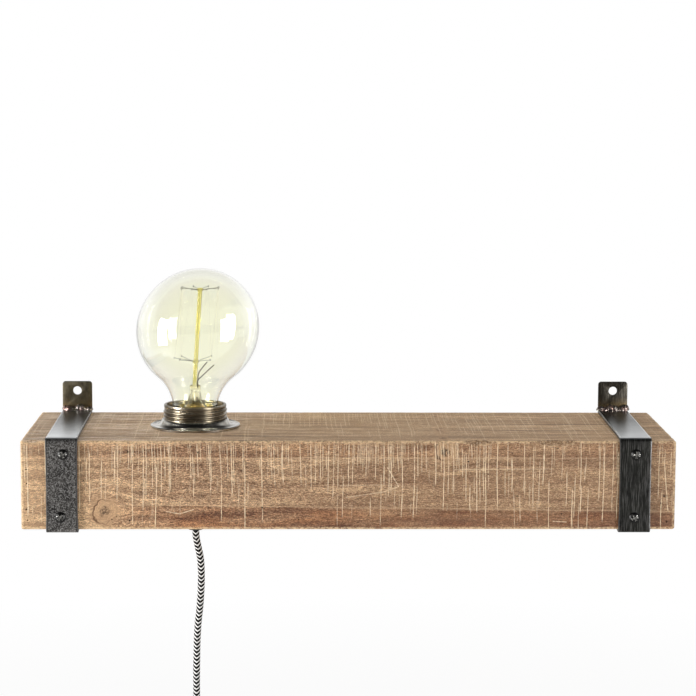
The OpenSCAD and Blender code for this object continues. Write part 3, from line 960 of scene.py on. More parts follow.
@dataclass(frozen=True)
class StemGlass(BulbGlass):
    """Drawn glass: nearly clear in the flare, and an olive yellow rod above the pinch.

    Attributes:
        foot: Hex colour of the flare.
    """

    foot: str = "f6f1e4"

    def tone(self, n: Nodes) -> Socket:
        """Returns the glass's colour, by its height over the block."""
        height = n.add("Math.SUBTRACT", n.add("SeparateXYZ", n.millimetres(), out="Z"), TOP / MM)
        return n.add("MixRGB", n.add("MapRange", height, 24, 31), self.foot, self.tint)


@dataclass(frozen=True)
class BraidedCord(Finish):
    """Cotton braid in black and natural white: chevrons of slanted yarns, one to each face.

    Attributes:
        repeat: Length of one chevron and its gap, in millimetres.
        chevrons: How many stand side by side round the cord.
        rise: How far a chevron's arm climbs, in repeats.
        dark_share: Share of the repeat that is black.
    """

    repeat: float = 2.65
    chevrons: int = 2
    rise: float = 0.85
    dark_share: float = 0.66

    def shade(self, n: Nodes) -> Socket:
        """Builds the finish.

        Args:
            n: Where its nodes go.

        Returns:
            The shader.
        """
        run = n.add("UVMap", uv_map="run")
        round_it = n.add("SeparateXYZ", run, out="X")
        along = n.add("Math.MULTIPLY", round_it.node.outputs["Y"], 1000 / self.repeat)
        turned = n.add("Math.MULTIPLY_ADD", round_it, float(self.chevrons), 0.5)
        arm = n.add("Math.PINGPONG", turned, 0.5)
        slant = n.add("Math.MULTIPLY_ADD", arm, 2 * self.rise, along)
        at = n.millimetres()
        fray = n.grains(at, (0.4, 0.4, 0.4), 2)
        slant = n.add("Math.ADD", n.add("MapRange", fray, 0.2, 0.8, -0.07, 0.07), slant)
        place = n.add("Math.FRACT", slant)
        away = n.add("Math.ABSOLUTE", n.add("Math.SUBTRACT", place, 0.5))
        half = self.dark_share / 2
        black = n.add("MapRange", away, half - 0.02, half + 0.02, 1, 0)
        yarns = n.add("Math.SINE", n.add("Math.MULTIPLY", slant, 4 * math.tau))
        lint = n.grains(at, (0.15, 0.15, 0.5), 3)
        white = n.add("MixRGB", n.add("MapRange", lint, 0.3, 0.7), "efede8", "ffffff")
        dark = n.add("MixRGB", n.add("MapRange", lint, 0.3, 0.8), "050505", "121110")
        fuzz = n.add("Bump", 1.0, 0.03 * MM, None, lint)
        relief = n.add("Bump", 1.0, 0.06 * MM, None, n.add("MapRange", yarns, -1, 1), fuzz)
        return n.add(
            "BsdfPrincipled", n.add("MixRGB", black, white, dark), 0.0, 0.88,
            sockets={"Specular IOR Level": 0.2, "Normal": relief},
        )


@dataclass(frozen=True)
class Knot:
    """A knot on the block's front.

    Attributes:
        x: Its middle, in millimetres from the frame's origin.
        z: Its height, in millimetres.
        radius: Its size, in millimetres.
        dark: How dark its cracked middle is.
    """

    x: float
    z: float
    radius: float
    dark: float


@dataclass(frozen=True)
class Lane:
    """One size of score, of which each lane along X may hold one.

    Attributes:
        pitch: Width of a lane, in millimetres.
        width: Width of the score, in millimetres.
        reach: Half of the longest score, where the face's height is 1.
        share: Share of the lanes that hold one where they crowd.
        strength: How pale it is.
        seed: Which random numbers.
    """

    pitch: float
    width: float
    reach: float
    share: float
    strength: float
    seed: float


@dataclass(frozen=True)
class Spot:
    """A point of the block's surface, as the sockets that its finish reads.

    Attributes:
        at: Its coordinates, in millimetres.
        x: Its place along the block.
        y: Its depth.
        z: Its height.
        lying: 1 where the face looks up or down.
        end: 1 on end grain.
    """

    at: Socket
    x: Socket
    y: Socket
    z: Socket
    lying: Socket
    end: Socket


@dataclass(frozen=True)
class ReclaimedPine(Finish):
    """Reclaimed pine beam: brown with age, scored across by a saw, with knots and worm holes.

    Fine fibres run along X, growth rings lie in long bands, and pale scores cross both. Its
    arrises are chipped and rubbed, which the mesh's chip and arris attributes mark.

    Attributes:
        knots: The knots on its front.
        lanes: The sizes of its scores across the fibres.
        strokes: Single strokes on its front: X and Z of one end and of the other in millimetres,
            and how pale each is.
    """

    knots: tuple[Knot, ...] = (
        Knot(-155.4, -60.9, 7.6, 0.85),
        Knot(60.5, -22.4, 6.0, 0.9),
    )
    lanes: tuple[Lane, ...] = (
        Lane(1.0, 0.14, 0.12, 0.5, 0.5, 3.7),
        Lane(1.7, 0.18, 0.21, 0.52, 0.72, 11.2),
        Lane(2.9, 0.24, 0.36, 0.62, 0.95, 29.9),
        Lane(6.8, 0.34, 0.52, 0.68, 1.0, 47.1),
    )
    strokes: tuple[tuple[float, float, float, float, float], ...] = (
        (200.1, -26.9, 202.9, -59.7, 0.8),
        (66.0, -33.6, 128.0, -33.2, 0.35),
        (-115.8, -60.6, -107.4, -62.1, 0.8),
        (-107.4, -62.1, -98.6, -59.4, 0.8),
        (130.0, -67.0, 138.4, -67.4, 0.7),
        (-165.4, -47.5, -150.5, -43.2, 0.4),
        (-6.0, -44.0, 22.0, -43.4, 0.3),
        (24.5, -32.5, 31.5, -44.5, 0.9),
        (31.5, -44.5, 22.0, -48.0, 0.6),
        (22.0, -48.0, -2.0, -51.5, 0.45),
    )

    def shade(self, n: Nodes) -> Socket:
        """Builds the finish.

        Args:
            n: Where its nodes go.

        Returns:
            The shader.
        """
        spot = self._spot(n)
        bent, layers = self._knots(n, spot)
        fibre = n.grains(bent, (14, 0.8, 0.55), 4, 0.65)
        pores = n.grains(bent, (3.0, 0.42, 0.36), 2, 0.5)
        specks = n.add("MapRange", n.grains(spot.at, (0.75, 0.55, 0.55), 3, 0.65), 0.38, 0.62, *SPECKS)
        scores = n.add("MapRange", spot.end, 0, 1, self._scores(n, spot), 0.0)
        worm = self._worm(n, spot.at)
        tone = self._bands(n, spot, self._heart(n, spot, bent, fibre, pores, specks))
        # Over the sawn wood: the top and underside, pale partly as a painted sheen; darker end grain; the
        # knots; the scores; and the worm holes, painted dark as the shade inside them.
        for share, colour in (
            (n.add("Math.MULTIPLY", spot.lying, 0.75), self._weathered_and_sheen(n, spot, fibre, specks)),
            (n.add("Math.MULTIPLY", spot.end, 0.35), "7c5c40"),
            *layers,
            (n.add("Math.MULTIPLY", scores, 0.92), "f6dfba"),
            (worm, "23150c"),
        ):
            tone = n.add("MixRGB", share, tone, colour)
        relief = None
        for depth, height in (
            (0.16, n.add("MapRange", fibre, 0.3, 0.7)),
            (0.1, n.add("MapRange", pores, 0.5, 0.7, 1, 0)),
            (0.08, scores),
            (0.6, n.add("Math.SUBTRACT", 1.0, worm)),
        ):
            relief = n.add("Bump", 1.0, depth * MM, None, height, relief)
        return n.add(
            "BsdfPrincipled",
            self._arrises(n, spot, tone),
            0.0,
            n.add("MapRange", fibre, 0.3, 0.7, 0.78, 0.62),
            sockets={"Specular IOR Level": 0.35, "Normal": relief},
        )

    def _spot(self, n: Nodes) -> Spot:
        """Reads where a point of the surface is, and which way it faces.

        Args:
            n: Where the nodes go.

        Returns:
            The point.
        """
        at = n.millimetres()
        facing = n.add("SeparateXYZ", n.add("NewGeometry", out="Normal")).node
        lying, end = (
            n.add("MapRange", n.add("Math.ABSOLUTE", facing.outputs[axis]), 0.5, 0.9) for axis in "ZX"
        )
        return Spot(at, *n.add("SeparateXYZ", at).node.outputs, lying, end)

    def _knots(self, n: Nodes, spot: Spot) -> tuple[Socket, tuple[tuple[Value, str], ...]]:
        """Bends the grain round the knots and draws them.

        Args:
            n: Where the nodes go.
            spot: The point of the surface.

        Returns:
            The bent coordinates; and the share and colour of the paler wood in and round the
            knots, of their rings, and of their dark cracked middles.
        """
        uneven = n.add("Math.SUBTRACT", n.grains(spot.at, (6, 6, 6), 2), 0.5)
        cracks = n.add("MapRange", n.grains(spot.at, (1.3, 9, 1.0), 3, 0.7), 0.42, 0.5)
        height = spot.z
        halos, rings, cores = 0.0, 0.0, 0.0
        for knot in self.knots:
            over = n.add("Math.SUBTRACT", spot.z, knot.z)
            beside = n.add("Math.SUBTRACT", spot.x, knot.x)
            far = n.add("VectorMath.LENGTH", n.add("CombineXYZ", beside, 0.0, over), out="Value")
            far = n.add("Math.MULTIPLY_ADD", uneven, knot.radius * 1.1, far)
            near = n.add("MapRange", far, knot.radius * 0.8, knot.radius * 3.4, 0.6, 0)
            height = n.add("Math.MULTIPLY_ADD", n.add("Math.MULTIPLY", over, near), -1.0, height)
            inside = n.add("MapRange", far, knot.radius, knot.radius * 1.5, 0.75, 0)
            halos = n.add("Math.MAXIMUM", halos, inside)
            wave = n.add("Math.SINE", n.add("Math.MULTIPLY", far, 4.6))
            ring = n.add("Math.MULTIPLY", n.add("MapRange", wave, 0.3, 1, 0, 0.42), inside)
            off = n.add("Math.ABSOLUTE", n.add("Math.SUBTRACT", far, knot.radius))
            fading = n.add("MapRange", beside, knot.radius * 0.6, -knot.radius * 0.4, 0.15, 1)
            outline = n.add("Math.MULTIPLY", n.add("MapRange", off, 0.3, 0.85, 0.9, 0), fading)
            rings = n.add("Math.MAXIMUM", rings, n.add("Math.MAXIMUM", ring, outline))
            middle = n.add("MapRange", far, knot.radius * 0.32, knot.radius * 0.55, knot.dark, 0)
            cores = n.add("Math.MAXIMUM", cores, n.add("Math.MULTIPLY", middle, cracks))
        bent = n.add("CombineXYZ", spot.x, spot.y, height)
        return bent, ((halos, "c09a73"), (rings, "5c3b22"), (cores, "3c2412"))

    def _heart(
        self, n: Nodes, spot: Spot, bent: Socket, fibre: Socket, pores: Socket, specks: Socket
    ) -> Socket:
        """Colours the sawn wood: broad drifts, growth rings, fibres, dark pores and pale flecks.

        Args:
            n: Where the nodes go.
            spot: The point of the surface.
            bent: Coordinates in millimetres, bent round the knots.
            fibre: Noise along the fibres.
            pores: Noise of the pores.
            specks: How light each speck is.

        Returns:
            The colour.
        """
        mixed = n.add("Math.MULTIPLY", self._growth(n, bent), 0.18)
        for grain, share in (
            (n.grains(bent, (70, 11, 5), 3, 0.55), 0.36),
            (fibre, 0.18),
            (n.grains(bent, (1.7, 0.55, 0.5), 3, 0.65), 0.28),
        ):
            mixed = n.add("Math.MULTIPLY_ADD", grain, share, mixed)
        stops = [(0.425, "66442c"), (0.47, "937051"), (0.52, "ad8a68"), (0.57, "d6b288")]
        tone = n.add("ValToRGB", mixed, stops=stops)
        tone = n.add("MixRGB", n.add("MapRange", pores, 0.52, 0.62, 0, 0.75), tone, "61402a")
        flecks = n.grains(bent, (2.2, 0.5, 0.4), 2)
        tone = n.add("MixRGB", n.add("MapRange", flecks, 0.54, 0.66, 0, 0.6), tone, "debd94")
        tone = n.add("MixRGB", 1.0, tone, specks, blend_type="MULTIPLY")
        return n.add("MixRGB", n.add("MapRange", spot.x, -70, 40, 0, 0.35), tone, "936c4a")

    def _growth(self, n: Nodes, bent: Socket) -> Socket:
        """Draws growth rings about a pith that lies behind and below the block.

        Args:
            n: Where the nodes go.
            bent: Coordinates in millimetres, bent round the knots.

        Returns:
            Noise that follows the rings.
        """
        drift = n.grains(bent, (180, 40, 40), 2)
        from_pith = n.add("VectorMath.SUBTRACT", bent, (0, -20, -170))
        from_pith = n.add("VectorMath.MULTIPLY", from_pith, (0, 1, 1))
        radius = n.add("VectorMath.LENGTH", from_pith, out="Value")
        radius = n.add("Math.MULTIPLY_ADD", drift, 26.0, radius)
        return n.grains(n.add("CombineXYZ", radius, 0.0, 0.0), (2.6, 1, 1), 3, 0.6)

    def _bands(self, n: Nodes, spot: Spot, tone: Socket) -> Socket:
        """Darkens the front's top and bottom bands, each with a pale line at its edge.

        Args:
            n: Where the nodes go.
            spot: The point of the surface.
            tone: The colour so far.

        Returns:
            The colour, paler towards the left end, with painted light that brightens the left and dims the
            right.
        """
        edge = n.add("Math.MULTIPLY_ADD", n.grains(spot.at, (60, 60, 60), 3, 0.6), 3.0, spot.z)
        sloped = n.add("Math.MULTIPLY_ADD", spot.x, 0.0125, edge)
        upper = n.add("Math.MULTIPLY", n.add("MapRange", edge, -24.6, -23.8), 0.5)
        lower = n.add("MapRange", sloped, -58.0, -56.9, 1, 0)
        lower = n.add("Math.MULTIPLY", lower, n.add("MapRange", spot.x, -160, -110))
        lines = [
            n.add("Math.MULTIPLY", n.add("MapRange", at, *rise), n.add("MapRange", at, *fall, 1, 0))
            for at, rise, fall in (
                (edge, (-25.6, -24.8), (-24.5, -24.1)),
                (sloped, (-57.2, -56.6), (-56.5, -55.7)),
            )
        ]
        front = n.add("Math.SUBTRACT", 1.0, spot.lying)
        patches = n.add("MapRange", n.grains(spot.at, (35, 20, 7), 3), 0.3, 0.6, 0.3, 0.85)
        banded = n.add("Math.MULTIPLY", n.add("Math.MAXIMUM", upper, lower), patches)
        share = n.add("Math.MULTIPLY", banded, front)
        tone = n.add("MixRGB", share, tone, "c79f80", blend_type="MULTIPLY")
        pale = n.add("Math.MULTIPLY", n.add("Math.MAXIMUM", *lines), front)
        tone = n.add("MixRGB", n.add("Math.MULTIPLY", pale, 0.35), tone, "d9b48c")
        tone = n.add("MixRGB", n.add("MapRange", spot.x, -190, -120, 0.25, 0), tone, "c7a57d")
        # Brighter to the left and darker to the right: painted light from the left.
        lit = n.add("MapRange", spot.x, -150, 10, 1.12, 0.95)
        return n.add("MixRGB", 1.0, tone, lit, blend_type="MULTIPLY")

    def _weathered_and_sheen(self, n: Nodes, spot: Spot, fibre: Socket, specks: Socket) -> Socket:
        """Colours the top and underside: pale from weather and from a painted sheen, with broad brown streaks
        and dark furrows.

        Args:
            n: Where the nodes go.
            spot: The point of the surface.
            fibre: Noise along the fibres.
            specks: How light each speck is.

        Returns:
            The colour.
        """
        paler = n.add("MixRGB", n.add("MapRange", spot.x, -150, -20), "ffeeda", "dcbd97")
        tone = n.add("MixRGB", n.add("MapRange", fibre, 0.42, 0.58), "a88560", paler)
        streaks = n.add("MapRange", n.grains(spot.at, (150, 9, 9), 3, 0.6), 0.42, 0.62, 0.55, 0)
        tone = n.add("MixRGB", streaks, tone, "8f7152")
        furrows = n.add("MapRange", n.grains(spot.at, (110, 2.0, 2.0), 2), 0.58, 0.64, 0, 0.9)
        tone = n.add("MixRGB", furrows, tone, "54402e")
        for factor in (
            n.add("MapRange", specks, *SPECKS, 0.66, 1.36),
            n.add("MapRange", spot.x, 0, 100, 1.0, 1.13),
        ):
            tone = n.add("MixRGB", 1.0, tone, factor, blend_type="MULTIPLY")
        return tone

    def _scores(self, n: Nodes, spot: Spot) -> Socket:
        """Draws pale scores across the fibres: straight, of their own lengths, and gathered in groups.

        The face is parted in lanes along X. A lane may hold one score, whose place, middle and
        reach come from the lane's own random numbers.

        Args:
            n: Where the nodes go.
            spot: The point of the surface.

        Returns:
            1 in a score.
        """
        rise = n.add("MapRange", spot.z, UNDER / MM, TOP / MM)
        depth = n.add("MapRange", spot.y, -DEPTH / MM, 0)
        across = n.add("MixRGB", spot.lying, rise, depth)
        rear = n.add("MapRange", spot.y, -60, -59, 0, n.add("MapRange", spot.lying, 0, 1, 53, 0))
        drift = n.add("Math.ADD", spot.x, rear)
        drift = n.add("Math.MULTIPLY_ADD", n.grains(spot.at, (60, 90, 70), 2), 5.0, drift)
        drift = n.add("Math.MULTIPLY_ADD", n.grains(spot.at, (5, 9, 8), 2), 0.45, drift)
        crowd = n.add("MapRange", n.grains(spot.at, (20, 400, 400), 2), 0.34, 0.6, 0.25, 1.15)
        marks: Value = 0.0
        for lane in self.lanes:
            place = n.add("Math.MULTIPLY_ADD", drift, 1 / lane.pitch, lane.seed)
            number = n.add("Math.FLOOR", place)
            dice = n.add("TexWhiteNoise", None, number, noise_dimensions="1D", out="Color")
            first, second, third = n.add("SeparateXYZ", dice).node.outputs
            middle = n.add("Math.MULTIPLY_ADD", first, 0.6, 0.2)
            off = n.add("Math.SUBTRACT", n.add("Math.FRACT", place), middle)
            off = n.add("Math.MULTIPLY", n.add("Math.ABSOLUTE", off), lane.pitch)
            line = n.add("MapRange", off, lane.width / 2, lane.width / 2 + 0.18, 1, 0)
            reach = n.add("MapRange", third, 0, 1, lane.reach * 0.3, lane.reach)
            hung = n.add("Math.FRACT", n.add("Math.MULTIPLY", second, 7.7))
            hung = n.add("Math.LESS_THAN", hung, 0.55)
            amid = n.add("MapRange", hung, 0, 1, second, n.add("Math.SUBTRACT", 0.99, reach))
            beyond = n.add("Math.ABSOLUTE", n.add("Math.SUBTRACT", across, amid))
            beyond = n.add("Math.SUBTRACT", beyond, reach)
            line = n.add("Math.MULTIPLY", line, n.add("MapRange", beyond, -0.06, 0, 1, 0))
            lot = n.add("Math.FRACT", n.add("Math.MULTIPLY", first, 17.3))
            drawn = n.add("Math.LESS_THAN", lot, n.add("Math.MULTIPLY", crowd, lane.share))
            line = n.add("Math.MULTIPLY", line, drawn)
            marks = n.add("Math.MAXIMUM", marks, n.add("Math.MULTIPLY", line, lane.strength))
        marks = n.add("Math.MULTIPLY", marks, n.add("MapRange", spot.lying, 0, 1, 1, 0.45))
        patchy = n.add("MapRange", n.grains(spot.at, (0.9, 3, 2.2), 3), 0.36, 0.55, 0.35, 1)
        return n.add("Math.MULTIPLY", self._strokes(n, spot, marks), patchy)

    def _strokes(self, n: Nodes, spot: Spot, marks: Socket) -> Socket:
        """Draws the single strokes on the front.

        Args:
            n: Where the nodes go.
            spot: The point of the surface.
            marks: The marks so far.

        Returns:
            The marks with the strokes.
        """
        flat = n.add("CombineXYZ", spot.x, 0.0, spot.z)
        front = n.add("Math.SUBTRACT", 1.0, spot.lying)
        for from_x, from_z, to_x, to_z, strength in self.strokes:
            way = Vector((to_x - from_x, 0, to_z - from_z))
            unit = tuple(way / way.length_squared)
            from_start = n.add("VectorMath.SUBTRACT", flat, (from_x, 0, from_z))
            along = n.add("VectorMath.DOT_PRODUCT", from_start, unit, out="Value")
            share = n.add("Math.ADD", along, 0.0, use_clamp=True)
            nearest = n.add("VectorMath.SCALE", tuple(way), None, None, share)
            off = n.add("VectorMath.DISTANCE", from_start, nearest, out="Value")
            line = n.add("Math.MULTIPLY", n.add("MapRange", off, 0.18, 0.4, strength, 0), front)
            marks = n.add("Math.MAXIMUM", marks, line)
        return marks

    def _worm(self, n: Nodes, at: Socket) -> Socket:
        """Draws worm holes, under a millimetre across, where a sparse cell's middle meets the face.

        Args:
            n: Where the nodes go.
            at: Coordinates in millimetres.

        Returns:
            1 in a hole, which the finish paints dark as the shade inside it.
        """
        cells = n.add("VectorMath.DIVIDE", at, (13, 13, 13))
        middle = n.add("TexVoronoi", cells, None, 1.0, out="Distance")
        return n.add("MapRange", middle, 0.03, 0.045, 1, 0)

    def _arrises(self, n: Nodes, spot: Spot, tone: Socket) -> Socket:
        """Colours the arrises: dark in the chips as painted shade, pale where they are worn, with flecks
        beside them.

        Args:
            n: Where the nodes go.
            spot: The point of the surface.
            tone: The colour so far.

        Returns:
            The colour.
        """
        ragged = n.grains(spot.at, (1.6, 1.6, 1.2), 3, 0.6)
        chipped = n.add("MapRange", n.add("Attribute", attribute_name="chip", out="Fac"), 0.15, 0.5)
        broken = n.add("MapRange", ragged, 0.42, 0.6, 0, 0.75)
        flecks = n.add("MapRange", n.grains(spot.at, (1.5, 1.5, 0.9), 3, 0.65), 0.5, 0.6, 0, 0.75)
        from_top = n.add("MapRange", spot.z, TOP / MM - 3.2, TOP / MM - 0.2)
        from_foot = n.add("MapRange", spot.z, UNDER / MM + 2.2, UNDER / MM + 0.2)
        upright = n.add("MapRange", spot.lying, 0, 1, 1, 0)
        by_edge = n.add("Math.MULTIPLY", n.add("Math.MAXIMUM", from_top, from_foot), upright)
        worn = n.add("Attribute", attribute_name="arris", out="Fac")
        wear_and_sheen = n.add("MapRange", ragged, 0.38, 0.6, 0.85, 0.05)
        # The chips are painted dark as the shade in them; the arrises are paler where worn, and flecked
        # beside.
        for where, share, colour in (
            (chipped, broken, "664529"), (by_edge, flecks, "ecca98"), (worn, wear_and_sheen, "e6c79c")
        ):
            tone = n.add("MixRGB", n.add("Math.MULTIPLY", where, share), tone, colour)
        return tone


# Old pine from a beam: warm brown, dry and rough, with pale saw scores all across the fibres.
PINE = ReclaimedPine("reclaimed_pine")
# Hot-rolled bar of the left strap: charcoal and pebbled, painted paler as the lit copy, with a strong painted
# sheen on its top leg.
STRAP_LEFT_LIT = StrapSteel("strap_pebbled", Surfacing.PEBBLED, "312f2e", "65625f", 1.0)
# The right strap's bar: brushed downwards, painted nearly black as the shaded copy, with less painted sheen
# on top.
STRAP_RIGHT_SHADED = StrapSteel("strap_brushed", Surfacing.BRUSHED, "0f0f0d", "1e1e1a", 0.62)
# Raw bar of the left tab: olive brown scale with straw colours by the weld, painted as the lit copy.
TAB_LEFT_LIT = TabSteel("tab_scale_left_lit", "3b3427", "776f5b")
# The right tab stands in less light: its scale is painted darker, as the shaded copy.
TAB_RIGHT_SHADED = TabSteel("tab_scale_right_shaded", "1c1914", "37332b")
# Steel that was melted and wire-brushed: grey lumps with bright tops.
WELD = WeldMetal("weld_metal")
# Blown bulb glass, faintly yellow: clear in its middle, paler towards its edge as a painted reflection, with
# a thin painted dark outline.
TINTED_GLASS = BulbGlass("tinted_glass", "fdfdee")
# Drawn glass of the stem: a yellow-green rod that is the strongest colour in the bulb.
STEM_GLASS = StemGlass("stem_glass", "e0d584")
# Braided cotton over the cord: matt black and white chevrons.
BRAID = BraidedCord("braided_cord")


# ---- studio ----


@dataclass
class Studio:
    """Camera at the photograph's place, two tall soft lamps, a white surround and a pale floor.

    Attributes:
        eye: Where the camera stands.
        down: How far it looks down, in degrees.
        right: How far it looks to the right, in degrees.
        tilt: Its roll, in degrees.
        lens: Its focal length on a 36 mm sensor, in millimetres.
        floor_z: Height of the floor.
        lamp_level: Radiance of a lamp, where a white backdrop has 1.
        gloss_level: What more a lamp shows in glass and metal.
        lamp_size: A lamp's width and height.
        lamp_far: Its distance from the bulb.
    """

    eye: Point = (-0.0295, -1.4993, 0.2174)
    down: float = 7.154
    right: float = 1.182
    tilt: float = 0.223
    lens: float = 114.54
    floor_z: float = -0.462
    lamp_level: float = 12.7
    gloss_level: float = 14.0
    lamp_size: tuple[float, float] = (0.42, 0.84)
    lamp_far: float = 1.2

    def camera(self) -> None:
        """Puts the camera in the scene."""
        data = bpy.data.cameras.new("camera")
        data.lens, data.sensor_width = self.lens, 36
        data.clip_start, data.clip_end = 0.05, 60
        made = new_object("camera", data)
        turn = (
            Matrix.Rotation(-math.radians(self.right), 4, "Z")
            @ Matrix.Rotation(math.radians(90 - self.down), 4, "X")
            @ Matrix.Rotation(math.radians(self.tilt), 4, "Z")
        )
        made.matrix_world = Matrix.Translation(self.eye) @ turn
        bpy.context.scene.camera = made

    def lamp(self, name: str, azimuth: float, elevation: float, level: float, width: float) -> None:
        """Adds a soft lamp that faces the bulb, and its twin that only glass and metal see.

        Args:
            name: What it is called.
            azimuth: Its direction from the front, to the right, in degrees.
            elevation: Its direction above the bulb, in degrees.
            level: Radiance, where a white backdrop has 1.
            width: Its width; its height is lamp_size's.
        """
        a, e = math.radians(azimuth), math.radians(elevation)
        towards = Vector((math.sin(a) * math.cos(e), -math.cos(a) * math.cos(e), math.sin(e)))
        aim = Vector((LAMP_X / 2, LAMP_Y, 0.03))
        for part, share in (("", level), ("_gloss", self.gloss_level)):
            data = bpy.data.lights.new(name + part, "AREA")
            data.shape = "RECTANGLE"
            data.size, data.size_y = width, self.lamp_size[1]
            data.energy = share * math.pi * data.size * data.size_y
            made = new_object(name + part, data)
            made.location = aim + towards * (self.lamp_far - (0.02 if part else 0))
            made.rotation_euler = towards.to_track_quat("Z", "Y").to_euler()
            made.visible_camera = False
            made.visible_diffuse = not part

    def world(self) -> None:
        """Surrounds the object with a white backdrop, and a darker room behind the camera."""
        world = bpy.data.worlds.new("studio")
        bpy.context.scene.world = world
        world.use_nodes = True
        n = Nodes(world.node_tree)
        way = n.add("LightPath").node
        direction = n.add("SeparateXYZ", n.add("TexCoord", out="Generated")).node
        behind = n.add("MapRange", direction.outputs["Y"], -0.45, 0.2, 0.05, 1.0)
        above = n.add("MapRange", direction.outputs["Z"], 0.2, 0.9, 0, 0.8)
        sideways = n.add("MapRange", direction.outputs["X"], -0.8, 0.8, 1.15, 0.66)
        around = n.add("Math.MULTIPLY", n.add("Math.MAXIMUM", behind, above), sideways)
        backdrop = n.add("MapRange", direction.outputs["Y"], -0.2, 0.35, 0.04, 1.0)
        ceiling = n.add("MapRange", direction.outputs["Z"], 0.3, 0.6, 1.0, 0.04)
        mirrored = n.add("Math.MULTIPLY", backdrop, ceiling)
        around = n.add("MixRGB", way.outputs["Is Glossy Ray"], around, mirrored)
        through_glass = n.add("MapRange", direction.outputs["Y"], 0.1, 0.7, 0.25, 1.0)
        seen = n.add("MixRGB", way.outputs["Is Transmission Ray"], around, through_glass)
        seen = n.add("MixRGB", way.outputs["Is Camera Ray"], seen, (1.0, 1.0, 1.0, 1))
        n.add("OutputWorld", n.add("Background", seen, 1.0))

    def floor(self) -> None:
        """Lays a pale round floor that turns white with distance and keeps the object's shadow."""
        bpy.ops.object.select_all(action="DESELECT")
        bpy.ops.mesh.primitive_circle_add(
            vertices=96, radius=12, fill_type="NGON", location=(0, 0, self.floor_z)
        )
        made = settle(bpy.context.active_object, "floor")
        # Painted board: off-white and matt, with a faint grit
        pale = bpy.data.materials.new("studio_floor")
        pale.use_nodes = True
        n = Nodes(pale.node_tree)
        at = n.millimetres()
        far = n.add("MapRange", n.add("VectorMath.LENGTH", at, out="Value"), 600, 1400)
        grit = n.grains(at, (3, 3, 3), 3)
        tone = n.add("MixRGB", n.add("MapRange", grit, 0.3, 0.7), "e6e5e3", "ecebe9")
        matt = n.add("BsdfPrincipled", tone, 0.0, 0.8)
        white = n.add("Emission", (1.0, 1.0, 1.0, 1), 1.0)
        shown = n.add("LightPath").node
        by_eye, by_glass = shown.outputs["Is Camera Ray"], shown.outputs["Is Transmission Ray"]
        seen = n.add("Math.MAXIMUM", by_eye, by_glass)
        share = n.add("Math.MULTIPLY", seen, n.add("MapRange", far, 0, 1, 0.8, 1))
        n.add("OutputMaterial", n.add("MixShader", share, matt, white))
        made.data.materials.append(pale)

    def build(self) -> None:
        """Sets up everything but the object."""
        self.camera()
        self.world()
        self.floor()
        self.lamp("softbox_left", -68, 1, self.lamp_level * 1.06, self.lamp_size[0])
        self.lamp("softbox_right", 53, 1, self.lamp_level * 0.38, self.lamp_size[0] * 0.9)
        bpy.context.scene.view_settings.view_transform = "Standard"


# ---- cord ----


